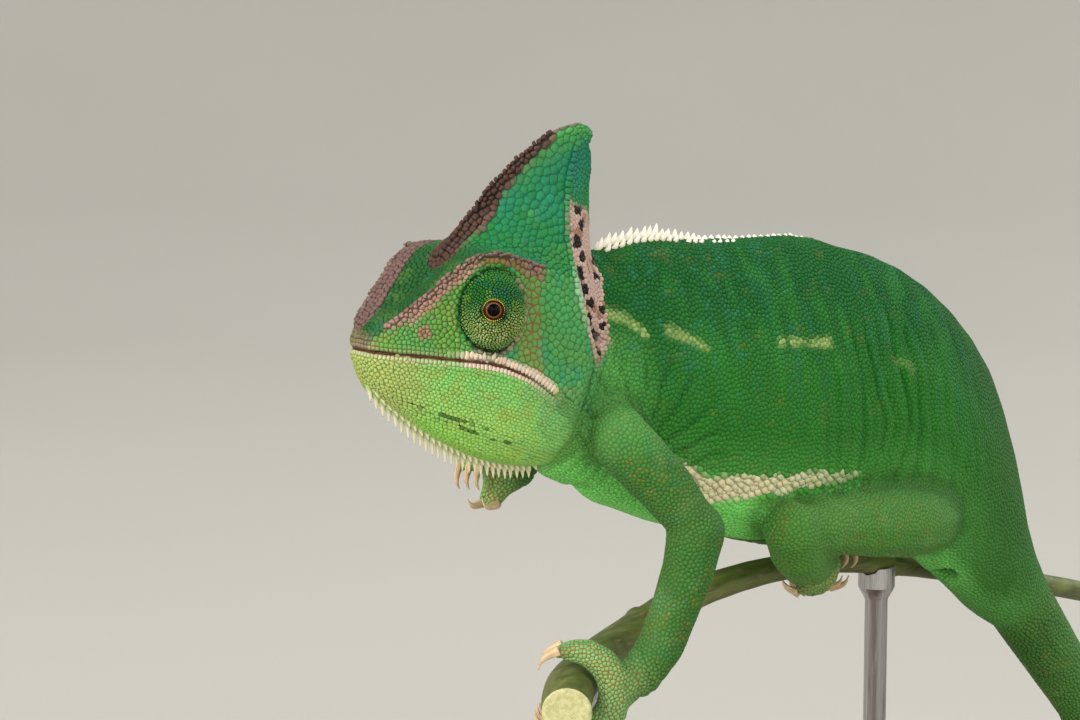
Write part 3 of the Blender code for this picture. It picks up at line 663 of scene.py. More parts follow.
BACK_Y = (-1, 6, 12.5, 20.5, 32.9, 45, 57, 69, 80.5, 90.8, 98.9, 103.8)
BACK_UP = (22, 27.6, 29.3, 30.2, 29, 28.6, 27.8, 25.2, 20.2, 13.4, 5, -4.4)
BELLY_Y = (-2, -0.6, 7, 14.5, 26.5, 40, 53, 65, 75, 82, 87.5, 99.3)
BELLY_UP = (3, -0.6, -3.9, -8.2, -13, -16.6, -18.2, -17.4, -19.2, -24, -27.8, -36.2)
BAND_LINE = [(12, 3), (14.9, 0.8), (19, -1.9), (25.1, -5.2), (33.6, -5.9), (42.3, -6),
             (55.8, -6.6)]
BAND_ALONG = (0, 5, 12, 20, 30, 40, 46)
BAND_WIDTHS = (0.7, 1.25, 1.75, 1.9, 1.35, 0.95, 0.4)
YELLOW_LINES = (([(3.5, 20), (7.5, 20.8), (11, 19.4), (13, 17.6)], 0.75),
                ([(17.2, 17.8), (20, 16.6), (24, 15)], 0.6),
                ([(39.6, 14.5), (45, 13.6), (50, 13.2)], 0.7),
                ([(65, 9), (69, 7.6)], 0.2))
THROAT_LINE_LONG = [(22.1, 4.1, 11.3), (18.5, 5.5, 9.7), (14.1, 6.6, 8.3), (12.2, 6.9, 7.5)]
THROAT_LINE_SHORT = [(19.9, 4.1, 9.5), (15.9, 5.6, 8.1), (12.6, 5.9, 6.5), (8.4, 6.6, 5.1)]
LABIAL_HEIGHT = 1.08


def side_distance(points, line):
    """Distance to a line of back and up in the side view, and how far along it."""
    return line_distance(points * (0, 1, 1), [(0, *place) for place in line])


# ---------------------------------------------------------------- colours of the skin

GREEN_BACK = swatch(10, 88, 28)
GREEN_FLANK = swatch(38, 110, 32)
GREEN_BELLY = swatch(122, 212, 104)
GREEN_HEAD = swatch(70, 144, 78)
GREEN_CASQUE = swatch(30, 116, 56)
GREEN_TIP = swatch(74, 150, 78)
GREEN_FOREHEAD = swatch(30, 82, 34)
GREEN_SNOUT = swatch(98, 144, 64)
GREEN_SOCKET = swatch(70, 140, 62)
TEAL = swatch(34, 122, 88)
BLUE_TEAL = swatch(26, 104, 92)
LIME = swatch(148, 198, 100)
LIME_DEEP = swatch(140, 200, 80)
JAW_REAR = swatch(126, 190, 100)
JAW_TIP = swatch(156, 176, 98)
MAUVE = swatch(120, 98, 88)
MAUVE_PALE = swatch(112, 86, 80)
MAUVE_DARK = swatch(66, 48, 44)
CREST_BROWN = swatch(77, 56, 47)
CASQUE_GAP = swatch(26, 106, 78)
PEACH = swatch(180, 138, 122)
RUST_BAND = swatch(146, 88, 56)
CREAM = swatch(210, 190, 168)
CREAM_BAND = swatch(216, 212, 170)
YELLOW_PATCH = swatch(158, 180, 104)
RUST = swatch(140, 88, 54)
OCHRE = swatch(136, 126, 46)
ARM_GREEN = swatch(57, 107, 44)
LEG_GREEN = swatch(74, 128, 52)
HAND_GREEN = swatch(131, 178, 111)
TAIL_GREEN = swatch(50, 94, 38)
BLACK_SPOT = swatch(30, 20, 17)
PINK_GREY = swatch(184, 156, 142)
SNOUT_TIP = swatch(158, 122, 102)
RIDGE_PALE = swatch(140, 188, 144)
LID_UPPER = swatch(34, 104, 30)
LID_LOWER = swatch(128, 148, 76)
LID_GROOVE = swatch(14, 36, 16)
LID_PALE = swatch(172, 188, 128)
LID_MARGIN = swatch(190, 168, 62)
NOSTRIL_PINK = swatch(144, 118, 90)
MOUTH_BROWN = swatch(84, 44, 32)
CONE_CREAM = swatch(214, 208, 172)
CREST_CREAM = swatch(244, 236, 218)
CREST_ROOT = swatch(190, 174, 142)


class Paint:
    """The scales' colour at each place and that of the skin between them, laid in turn."""

    def __init__(self, points, owner, colour, shade=0.4):
        self.points = points
        self.owner = owner
        self.head = in_head(points)
        self.half = mirrored(self.head)
        self.colour = np.tile(colour, (len(points), 1))
        self.gap = self.colour * shade

    def on(self, *nodes):
        return on(self.owner, *nodes).astype(float)

    def noise(self, size, seed):
        return mottle(self.points, size, seed)

    def lay(self, share, colour, shade=0.4, gap=None):
        """Covers a share of what is there; the gaps get their own colour or a shade."""
        share = np.clip(share, 0, 1)[:, None]
        self.colour = self.colour * (1 - share) + colour * share
        self.gap = self.gap * (1 - share) + (colour * shade if gap is None else gap) * share

    def lay_gap(self, share, gap):
        share = np.clip(share, 0, 1)[:, None]
        self.gap = self.gap * (1 - share) + gap * share

    def blotches(self, mask, *rows):
        """Blotches in turn: noise level from none to full, size, seed, share and finish."""
        for low, high, size, seed, share, *finish in rows:
            self.lay(mask * rise(low, high, self.noise(size, seed)) * share, *finish)


def paint_body(paint):
    mask = paint.on(*BODY_NODES, "tail_root")
    _across, back, up = paint.points.T
    top = np.interp(back, BACK_Y, BACK_UP)
    bottom = np.interp(back, BELLY_Y, BELLY_UP)
    height = np.clip((up - bottom) / np.maximum(top - bottom, 5), 0, 1)
    paint.lay(mask, GREEN_FLANK, 0.75)
    paint.lay(mask * rise(0.5, 0.85, height + 0.08 * paint.noise(5, 20)), GREEN_BACK, 0.75)
    edge = np.interp(back, (0, 12, 22, 36, 50, 100), (0.3, 0.25, 0.21, 0.18, 0.1, 0.06))
    edge = edge + 0.03 * paint.noise(6, 21)
    belly = fall(edge - 0.05, edge + 0.06, height)
    paint.lay(mask * fall(0.15, 0.45, height) * 0.35, GREEN_BELLY * 0.8, 0.75)
    paint.lay(mask * belly, GREEN_BELLY, 0.75)
    paint.lay(mask * fall(6, 16, back) * 0.7 * fall(0.5, 0.8, height), GREEN_BELLY * 0.8, 0.65)
    paint.blotches(mask * rise(0.4, 0.65, height),
                   (0.1, 0.7, (3, 1.5, 7), 22, 0.3, TEAL * 0.75, 0.75))
    paint.blotches(mask * rise(0.3, 0.5, height) * fall(35, 60, back),
                   (0.45, 0.7, 0.9, 29, 0.4, TEAL, 0.75))
    paint.blotches(mask * (1 - belly), (0, 0.7, (3, 1.8, 5), 24, 0.4, GREEN_FLANK * 1.3, 0.75))
    paint.blotches(mask * (1 - belly) * fall(60, 75, back),
                   (0.4, 0.9, (3, 2.2, 1.2), 23, 0.2, OCHRE * 0.8, 0.75))
    _ripple, valley = flank_creases(paint.points)
    # Painted shade: the flanks' crease valleys, behind the arm, far back and at the collar, are
    # darkened.
    paint.lay(mask * valley * 0.45, GREEN_BACK * 0.6, 0.6)
    paint.lay(mask * rise(78, 100, back) * 0.7, TAIL_GREEN, 0.75)
    for line, share in YELLOW_LINES:
        away, _along = side_distance(paint.points, line)
        away += 0.7 * paint.noise(1.1, 25) + 0.5 * paint.noise(2.7, 27)
        paint.lay(mask * fall(-0.1, 1.1, away) * share, YELLOW_PATCH, 0.8)
    band, along = side_distance(paint.points, BAND_LINE)
    width = np.interp(along, BAND_ALONG, BAND_WIDTHS)
    cream = fall(width - 0.25, width + 0.2, band + 0.5 * paint.noise((2.5, 2, 1.3), 26))
    cream *= 1 - 0.45 * rise(28, 44, along + 4 * paint.noise(4, 28))
    paint.lay(mask * cream, CREAM_BAND, 0.55)


def paint_limbs(paint):
    arm = paint.on(*ARM_NODES)
    leg = paint.on(*LEG_NODES)
    paint.lay(arm, ARM_GREEN, 0.84)
    paint.lay(arm * rise(0, 7, paint.points[:, 2]) * 0.35, GREEN_BELLY * 0.75, 0.84)
    paint.lay(leg, LEG_GREEN, 0.8)
    paint.blotches(np.maximum(arm, leg),
                   (0.1, 0.8, 1.2, 31, 0.28, TEAL, 0.82),
                   (0.1, 0.8, (1.6, 1.2, 0.7), 32, 0.28, OCHRE, 0.8),
                   (0, 0.8, 2.6, 33, 0.3, HAND_GREEN * 0.75, 0.82),
                   (0.3, 0.8, (1.6, 1.2, 0.5), 36, 0.22, RUST * 0.8, 0.6))
    fore = paint.on("forearm_left", "forearm_right", "shin_left", "shin_right")
    paint.lay_gap(fore * rise(0, 0.5, paint.noise(3, 34)) * 0.35, RUST * 0.7)
    feet = paint.on(*FOOT_NODES)
    paint.lay(feet * 0.9, HAND_GREEN, 0.5)
    paint.blotches(feet, (0, 0.6, 2.2, 37, 0.3, OCHRE * 1.4, 0.5),
                   (0.1, 0.5, 1.9, 35, 0.4, ARM_GREEN, 0.5))
    paint.lay_gap(feet * 0.8, RUST * 1.1)


def paint_tail(paint):
    mask = paint.on(*TAIL_NODES[1:])
    paint.lay(mask, TAIL_GREEN, 0.6)
    paint.blotches(mask, (0.1, 0.5, (6, 4, 4), 41, 0.4, GREEN_FLANK * 1.1, 0.4),
                   (0.15, 0.6, 2.6, 42, 0.45, OCHRE * 0.8, 0.4),
                   (0.55, 0.8, 1.4, 43, 0.5, YELLOW_PATCH, 0.6),
                   (0.55, 0.8, 1.2, 44, 0.4, RUST, 0.5))
    # Painted light: the tail beyond about 102 mm back is lightened where it lies in shade.
    paint.lay(mask * rise(102, 124, paint.points[:, 1]) * 0.75, TAIL_GREEN * (2.6, 2, 2.6), 0.6)


def paint_skull(paint):
    forward, _left, up = paint.half.T
    skull = paint.on(*SKULL_NODES)
    outer = outside_brow(paint.half)
    paint.lay(skull, GREEN_HEAD, 0.65)
    paint.blotches(skull, (0, 0.5, (1.6, 1.6, 4.5), 51, 0.6, TEAL * 1.4, 0.65),
                   (0.1, 0.5, 2.6, 52, 0.35, GREEN_SNOUT * 0.85, 0.6))
    cheek = skull * rise(4, 5.5, forward) * fall(7.5, 9.5, forward)
    cheek *= rise(12, 14, up) * fall(27, 30, up)
    paint.lay(cheek * 0.3, OCHRE * 1.2, 0.6)
    paint.lay_gap(cheek * rise(-0.7, 0, paint.noise(3, 53)), RUST * 1.15)

    snout = skull * rise(14, 17.5, forward) * outer
    paint.lay(snout, GREEN_SNOUT, 0.5)
    paint.blotches(snout, (0, 0.5, 2.4, 54, 0.5, GREEN_HEAD, 0.45))
    paint.lay_gap(snout * rise(0.1, 0.6, paint.noise(2.6, 55)), RUST * 0.8)

    casque = skull * (1 - outer) * rise(27, 31, up + 0.25 * (10 - forward))
    casque = np.maximum(casque, skull * rise(29.5, 31.5, up))
    paint.lay(casque, GREEN_CASQUE, 0.5, CASQUE_GAP)
    higher = np.interp(up, (28, 34, 42), (0.25, 0.6, 0.8))
    paint.blotches(casque, (0, 0.5, (2.4, 2.4, 4.4), 56, higher, TEAL, 0.5, CASQUE_GAP),
                   (0.25, 0.6, 1.9, 57, 0.45, BLUE_TEAL, 0.5, CASQUE_GAP),
                   (0.2, 0.6, (3, 3, 5), 58, 0.5, GREEN_TIP * 0.85, 0.6))
    paint.lay(casque * fall(31, 37, up) * 0.4, GREEN_CASQUE * (1, 0.9, 0.7), 0.6)
    paint.lay(casque * bump(up + paint.noise(3, 50), 41, 3) * 0.45, BLUE_TEAL, 0.6)
    front_high = 0.5 * (forward + 3) + 0.5 * paint.noise(3, 59)
    paint.lay(casque * rise(40, 44.5, up + front_high) * 0.9, GREEN_TIP, 0.65)

    forehead = skull * (1 - outer) * rise(9.5, 13, forward - 0.1 * (up - 26))
    forehead *= fall(29.5, 32.5, up)
    paint.lay(forehead, GREEN_FOREHEAD, 0.5)
    paint.blotches(forehead, (0.1, 0.5, 2.2, 60, 0.4, GREEN_SNOUT * 0.6, 0.5),
                   (0.2, 0.6, 2.4, 61, 0.4, TEAL * 0.7, 0.5))
    paint.blotches(forehead * fall(10.5, 13, forward),
                   (0.35, 0.6, 1.2, 69, 0.6, MAUVE * 0.8, 0.5))


def paint_brows(paint):
    forward, _left, _up = paint.half.T
    skull = paint.on(*SKULL_NODES)
    outer = outside_brow(paint.half)
    is_left = paint.head[:, 1] > 0
    ragged = line_distance(paint.half, BROW_LINE)[0] + 0.25 * paint.noise(1.1, 62)
    inner = fall(-0.2, 0.3, ragged - np.where(paint.head[:, 1] < 0, 3.3, 1.0))
    paint.lay(skull * inner * (1 - outer) * rise(8, 11, forward), MAUVE_PALE, 0.4)
    uneven = forward + 0.9 * paint.noise(1.4, 71)
    below = skull * outer * fall(1.5, 2.1, ragged) * rise(3.4, 6, uneven)
    below *= fall(22.5, 24, forward)
    paint.lay(below * rise(13, 15.5, forward) * 0.9, PEACH, 0.5, MAUVE * 0.6)
    paint.lay(below * fall(13, 15.5, forward) * 0.7, RUST_BAND, 0.5)
    paint.lay(below * fall(6.5, 9, forward), PEACH * 0.6, 0.5, MAUVE * 0.5)
    half_width = np.interp(forward, (3, 8), (0.2, 0.6))
    ridge = skull * fall(half_width, half_width + 0.35, ragged) * rise(2.6, 4.8, uneven)
    paint.lay(ridge, MAUVE, 0.4)
    paint.lay(ridge * is_left * rise(13, 17, forward) * 0.6, PEACH * 0.85, 0.5, MAUVE * 0.5)
    paint.blotches(ridge, (0.3, 0.7, 1, 63, 0.4, MAUVE_DARK, 0.4))


def paint_crest(paint):
    up = paint.half[:, 2]
    skull = paint.on(*SKULL_NODES)
    ragged = line_distance(paint.half, CREST_LINE)[0] + 0.3 * paint.noise(1.4, 64)
    width = np.interp(up, (26, 29, 34, 40, 43, 46), (1.1, 2.6, 2.4, 1.6, 1.1, 0.6))
    paint.lay(skull * fall(width, width + 0.35, ragged), CREST_BROWN, 0.4)
    top, _along = line_distance(paint.half, TIP_LINE[:3])
    paint.lay(skull * fall(0.45, 0.75, top) * 0.8, MAUVE, 0.4)
    paint.lay(skull * bump(ragged, width, 0.3) * 0.3 * rise(28, 31, up), PEACH * 0.6, 0.5)
    paint.blotches(skull * fall(width * 0.6, width, ragged),
                   (0, 0.4, 1.5, 65, 0.75, MAUVE_DARK, 0.4))


def paint_rear_band(paint):
    """The pink band with black spots behind the casque, and the pale line before it."""
    forward, _left, up = paint.half.T
    skull = paint.on(*SKULL_NODES)
    depth = line_at(REAR_LINE, up, 2, 0) - forward
    deepest = 6.2 + 0.3 * (up - 20)
    behind = np.maximum(skull, paint.on("neck") * fall(26.5, 27.5, up))
    behind *= (depth < deepest + 0.8 * paint.noise(1.7, 70)) * rise(-0.2, 0.5, depth)
    inside = np.clip(depth, 0, 6)
    behind *= rise(13.8, 14.6, up - 0.6 * inside + 0.5 * paint.noise(1.6, 72))
    behind *= fall(36.5, 38, up + 0.7 * inside + 1.2 * paint.noise(1.8, 73))
    paint.lay(behind, PINK_GREY, 0.6)
    paint.blotches(behind, (0.3, 0.5, 1.6, 66, 0.7, RUST * 0.9, 0.5))
    for number in range(10):
        middle = 16.4 + 2.05 * number
        inward = 1.2 + 2.2 * (number * 0.618 % 1)
        far = np.hypot((depth - inward) / 1.5, (up - middle) / 1.35)
        size = 0.5 + 0.2 * (number * 0.377 % 1)
        paint.lay(behind * fall(size, size + 0.1, far), BLACK_SPOT, 0.6)
        far = np.hypot((deepest - 1 - depth) / 1.4, up - middle - 1)
        paint.lay(behind * (far < 0.5) * (number % 3 > 0), BLACK_SPOT, 0.6)
    pale = bump(line_distance(paint.half, REAR_LINE)[0], 0, 0.55)
    paint.lay(skull * pale * rise(14, 18, up) * fall(40, 43, up) * 0.85, RIDGE_PALE, 0.55)


def paint_nose(paint):
    skull = paint.on(*SKULL_NODES)
    nostril = norm((paint.half - NOSTRIL) * (0.85, 0.7, 0.95), axis=1)
    paint.lay(skull * fall(0.7, 1.05, nostril), NOSTRIL_PINK, 0.5)
    paint.lay(skull * fall(0.12, 0.36, nostril), MOUTH_BROWN * 0.5, 0.5)
    tip = rise(26.2, 27.4, paint.half[:, 0] + 0.3 * paint.noise(1.5, 68))
    paint.lay(skull * tip * 0.5, SNOUT_TIP, 0.5)


def paint_jaw(paint):
    forward, left, up = paint.half.T
    jaw = paint.on("lower_jaw")
    drop = line_at(MOUTH_LINE, forward, 0, 2) - up
    paint.lay(jaw, JAW_REAR, 0.65)
    low = rise(2.5, 7.5, drop + 0.8 * paint.noise(4, 71))
    paint.lay(jaw * low * rise(1, 7, forward), LIME, 0.6)
    under = rise(0, 1, (7 - left) / 5) * rise(5, 9, drop)
    paint.lay(jaw * under * 0.7, LIME_DEEP, 0.6)
    paint.lay(jaw * rise(18.5, 24, forward + 0.6 * paint.noise(3, 72)), JAW_TIP, 0.5)
    paint.blotches(jaw * fall(5, 10, forward), (0.1, 0.6, 1.3, 73, 0.4, TEAL * 1.3, 0.6))
    paint.blotches(jaw, (0.2, 0.6, 1.5, 74, 0.25, OCHRE * 1.5, 0.6))
    paint.lay_gap(jaw * rise(0.2, 0.7, paint.noise(3, 75)) * 0.4, RUST)
    for line, seed in ((THROAT_LINE_LONG, 76), (THROAT_LINE_SHORT, 77)):
        away, _along = line_distance(paint.half, line)
        paint.blotches(jaw * fall(0.12, 0.22, away),
                       (-0.6, -0.2, 1.1, seed, 0.75, GREEN_BACK * 0.7, 0.3))
        paint.lay_gap(jaw * fall(0.3, 0.5, away) * 0.8, LID_GROOVE)
    paint.lay(jaw * fall(0.5, 1.6, left) * rise(6, 8, drop) * 0.6, CONE_CREAM, 0.5)


def paint_lips(paint):
    forward, _left, up = paint.half.T
    mouthed = paint.on("head", "lower_jaw")
    mouth, _along = line_distance(paint.half, MOUTH_LINE)
    lip = line_at(MOUTH_LINE, forward, 0, 2)
    upper = rise(-0.1, 0.1, up - lip)
    rear_half = fall(15.5, 18, forward)
    tall = np.where(upper > 0.5, LABIAL_HEIGHT, 0.7)
    high = mouthed * fall(0, 0.2, mouth - tall)
    paint.lay(high * rear_half * rise(2.6, 3.6, forward), CREAM, 0.5)
    paint.lay(high * fall(3, 4, forward) * 0.5, YELLOW_PATCH * 1.2, 0.5)
    low = mouthed * fall(0.8, 1.05, mouth) * (1 - rear_half)
    paint.lay(low * (1 - upper) * 0.38, CREAM * 0.85, 0.6)
    paint.lay(low * upper * 0.15, CREAM, 0.6)
    level = np.abs(up - lip) * np.interp(forward, (3, 8, 14), (0.75, 0.8, 1))
    level = np.where((mouth < 1.4) & (forward > 3.3), level, 9.0)
    paint.lay(mouthed * fall(0.14, 0.2, level), MOUTH_BROWN, 0.6)
    paint.lay_gap(mouthed * fall(0.16, 0.3, level), MOUTH_BROWN * 0.5)


def paint_eyes(paint):
    skull = paint.on(*SKULL_NODES)
    turret = paint.on(*LID_NODES)
    groove = (0.3, LID_GROOVE)
    for side, gaze in GAZES.items():
        beside = np.sign(paint.head[:, 1]) == np.sign(gaze[1])
        share = turret_share(paint.points, side)
        radius, depth = eye_radius(paint.points, side)
        away = in_head(paint.points - TURRET_CENTRES[side])
        low_rear = rise(-0.5, 2.5, -away[:, 0] - away[:, 2] * 0.8)
        socket = skull * beside * fall(1.14, 1.24, share)
        paint.lay(socket, GREEN_SOCKET, 0.5)
        paint.lay(socket * low_rear * 0.7, PINK_GREY * 0.7, 0.5)
        paint.lay(skull * beside * bump(share, 1.04, 0.035), LID_GROOVE, 0.5)
        lid = turret * beside
        high = rise(-2.2, 1.6, away[:, 2] + 0.5 * paint.noise(1.6, 81))
        paint.lay(lid, LID_LOWER, *groove)
        paint.lay(lid * high, LID_UPPER, *groove)
        paint.blotches(lid * high, (0.1, 0.4, 0.8, 82, 0.7, TEAL * 0.6, *groove))
        paint.blotches(lid, (0.2, 0.5, 0.7, 83, 0.5, LID_LOWER * (0.8, 1, 0.6), *groove))
        paint.blotches(lid * (1 - high), (0.1, 0.5, 0.6, 84, 0.6, LID_PALE, *groove))
        paint.lay(lid * rise(3.7, 4.5, radius) * 0.5, GREEN_SOCKET * 0.8, *groove)
        # Painted shade: a dark line along the low rear edge of each turret, under the eye.
        under = np.maximum(skull, turret) * beside * low_rear
        paint.lay(under * bump(share, 1.02, 0.045), LID_GROOVE * 0.5, 0.5)
        facing = lid * (depth > 0)
        paint.lay(facing * fall(1.3, 1.55, radius), LID_MARGIN, 0.35)
        paint.lay(facing * fall(1, 1.12, radius), MOUTH_BROWN * 0.4, 0.5)


def soften_meetings(points, owner, near, colours):
    """Blends the colours where the limbs, the throat and the tail meet the body, and paints shade
    along the borders between parts.
    """
    skull = on(owner, *SKULL_NODES, *LID_NODES)
    head = in_head(points)
    soft = ~skull | ((head[:, 0] < 3) & (head[:, 2] < 12.5))
    band, _along = side_distance(points, BAND_LINE)
    for line, _share in YELLOW_LINES:
        away, _along = side_distance(points, line)
        band = np.minimum(band, away + 0.6)
    soft &= (band > 2.2) | ~on(owner, "trunk", "neck")
    near = np.where((near >= 0) & soft[near], near, np.arange(len(points))[:, None])

    def meeting(groups):
        """One where two groups meet, and less with every scale further away."""
        group = owner.copy()
        for number, nodes in enumerate(groups):
            group[on(owner, *nodes)] = -1 - number
        share = soft * (group[near] != group[:, None]).any(axis=1).astype(float)
        for _round in range(6):
            share = np.maximum(share, soft * (share[near].max(axis=1) - 0.15))
        return share[:, None]

    blended = colours
    for _round in range(10):
        blended = blended[near].mean(axis=1)
    colours = colours + (blended - colours) * meeting([BODY_NODES + ["tail_root"]])
    # Painted shade: colours are darkened by up to 30% right at the borders where body, arms, legs
    # and head parts meet.
    return colours * (1 - 0.3 * meeting([BODY_NODES + TAIL_NODES, ARM_NODES, LEG_NODES]) ** 8)


def skin_colours(points, owner):
    """The colour of the scales at each place, and of the skin that shows between them."""
    paint = Paint(points, owner, GREEN_FLANK)
    for layer in (paint_body, paint_tail, paint_limbs, paint_skull, paint_brows, paint_crest,
                  paint_rear_band, paint_nose, paint_jaw, paint_lips, paint_eyes):
        layer(paint)
    return paint.colour, paint.gap


# ---------------------------------------------------------------- the coat of scales

ANGLES = 64                     # directions in which a scale's edge is looked for
NEIGHBOURS = 16
SCALES_AT_ONCE = 4000


class Seeds:
    """Where scales grow, how large they are and how they lie."""

    FIELDS = ("spacing", "kill", "height", "gap", "flat", "lean", "stretch")

    def __init__(self):
        self.points = np.zeros((0, 3))
        self.lies = np.zeros((0, 3))
        self.values = {field: np.zeros(0) for field in self.FIELDS}
        self.fixed = np.zeros(0, bool)

    def add(self, points, lies, fixed, **values):
        count = len(points)
        self.points = np.concatenate((self.points, points))
        self.lies = np.concatenate((self.lies, lies))
        for field in self.FIELDS:
            given = np.broadcast_to(values[field], count)
            self.values[field] = np.concatenate((self.values[field], given))
        self.fixed = np.concatenate((self.fixed, np.full(count, fixed)))

    def keep(self, chosen):
        self.points = self.points[chosen]
        self.lies = self.lies[chosen]
        self.fixed = self.fixed[chosen]
        self.values = {field: value[chosen] for field, value in self.values.items()}


def coat_plan(points, owner):
    """Spacing, height, gap, flatness, lean and stretch of the scales at each place."""
    half = mirrored(in_head(points))
    forward, left, up = half.T
    back = points[:, 1]
    head = on(owner, "head")
    low = np.interp(back, BELLY_Y, BELLY_UP)
    belly = fall(6, 12, points[:, 2] - low)
    tail_size = np.interp(points[:, 1], (104, 112, 130), (0.95, 0.9, 0.85))
    tail_size = tail_size * np.where(on(owner, "tail_tip"), 0.6, 1.0)
    tail_size = tail_size * np.where(on(owner, "tail_curl"), 0.85, 1.0)
    front = rise(9, 17, forward)
    head_size = 0.94 * (1 - front) + 0.58 * front
    forehead = head & (left < line_at(BROW_LINE, forward, 0, 1) - 0.8) & (up > 18)
    rear_forward = line_at(REAR_LINE, up, 2, 0)
    behind = on(owner, *SKULL_NODES) & (forward < rear_forward)
    plan = {field: np.full(len(points), value) for field, value in (
        ("spacing", 0.8), ("height", 0.2), ("gap", 0.06), ("flat", 0.75), ("lean", 0.5),
        ("stretch", 1.0))}

    def put(mask, spacing, height, gap, flat, lean, stretch=1.0):
        for field, value in zip(plan, (spacing, height, gap, flat, lean, stretch)):
            plan[field] = np.where(mask, value, plan[field])

    put(on(owner, "trunk", "tail_root"), 0.64 - 0.03 * belly, 0.1, 0.008, 0.84, 0.5, 1.06)
    put(on(owner, "neck"), 0.54, 0.11, 0.008, 0.82, 0.5, 1.1)
    put(on(owner, *TAIL_NODES[1:]), 0.74 * tail_size, 0.13 * tail_size, 0.01, 0.82, 0.7, 1.1)
    put(on(owner, *ARM_NODES), 0.56, 0.09, 0.01, 0.84, 0.5)
    put(on(owner, *LEG_NODES), 0.6, 0.1, 0.01, 0.84, 0.5)
    put(on(owner, *FOOT_NODES), 0.54, 0.11, 0.012, 0.86, 0.6, 1.1)
    put(on(owner, "lower_jaw"), 0.52, 0.14, 0.01, 0.74, 1.1, 1.14)
    put(head, 0.9 * head_size, 0.12, 0.01, 0.88, 0.3)
    netted = head & (forward > 3.5) & (forward < 9) & (up > 14) & (left > 5)
    put(netted, 0.86, 0.12, 0.032, 0.88, 0.3)
    put(forehead, 0.66, 0.15, 0.012, 0.85, 0.3)
    put(on(owner, "casque"), 1, 0.075, 0.014, 0.93, 0.1, 1.2)
    seam, _along = line_distance(half, JAW_SEAM)
    put(on(owner, "head", "lower_jaw") & (seam < 0.9), 0.4, 0.07, 0.01, 0.85, 0.3)
    put(behind, 0.56, 0.09, 0.01, 0.86, 0.3)
    put(on(owner, *LID_NODES), 0.36, 0.08, 0.01, 0.78, 0)
    return plan


def lie_of(points, owner):
    """The direction in which the scales' free edges point at each place."""
    head = in_head(points)
    lie = np.tile(np.array((0.0, 1.0, -0.2)), (len(points), 1))
    lie[on(owner, "casque")] = from_head((-0.6, 0, 0.8))
    lie[on(owner, "head")] = from_head((-1, 0, 0.1))
    lie[on(owner, "lower_jaw")] = from_head((-0.9, 0, -0.45))
    chains = [[f"{part}_{side}" for part in parts] for side in ("left", "right")
              for parts in (("upper_arm", "forearm", "hand"), ("thigh", "shin", "foot"))]
    for chain in chains:
        middles = [node_middle(node) for node in chain]
        for node, first, last in zip(chain, [middles[0], middles[0], middles[1]],
                                     [middles[1], middles[2], middles[2]]):
            lie[on(owner, node)] = last - first
    away = points - (node_middle("tail_tip") - THROAT)
    round_curl = np.stack((0 * away[:, 0], away[:, 2], -away[:, 1]), axis=1)
    curled = on(owner, "tail_curl", "tail_tip")
    lie = np.where(curled[:, None], round_curl, lie)
    lie[on(owner, "tail_middle")] = (0.0, 0.6, -0.8)
    lids = on(owner, *LID_NODES)
    for side, gaze in GAZES.items():
        beside = lids & (np.sign(head[:, 1]) == np.sign(gaze[1]))
        lie = np.where(beside[:, None], points - TURRET_CENTRES[side], lie)
        lie = np.where(beside[:, None],
                       lie - (lie @ GAZE_LINES[side])[:, None] * GAZE_LINES[side], lie)
    return unit(lie)


def row_on_head(seeds, surface, line, shift, pitch, sides=(1, -1), uneven=0.0, **values):
    """Scales a pitch apart beside a line of the head, on both sides or on the middle."""
    line = np.asarray(line, float) + np.asarray(shift, float)
    places, heading = walk_line(line, pitch)
    for side in sides:
        rng = np.random.default_rng(len(places) + 2 + side)
        turned = (places + rng.normal(0, 1, places.shape) * uneven) * (1, side, 1)
        settled, _normals, _uv = surface.settle(from_head(turned))
        tall = values["height"] * (1 + 3 * uneven * (rng.random(len(places)) - 0.5))
        seeds.add(settled, from_head(heading * (1, side, 1)), True, **dict(values, height=tall))


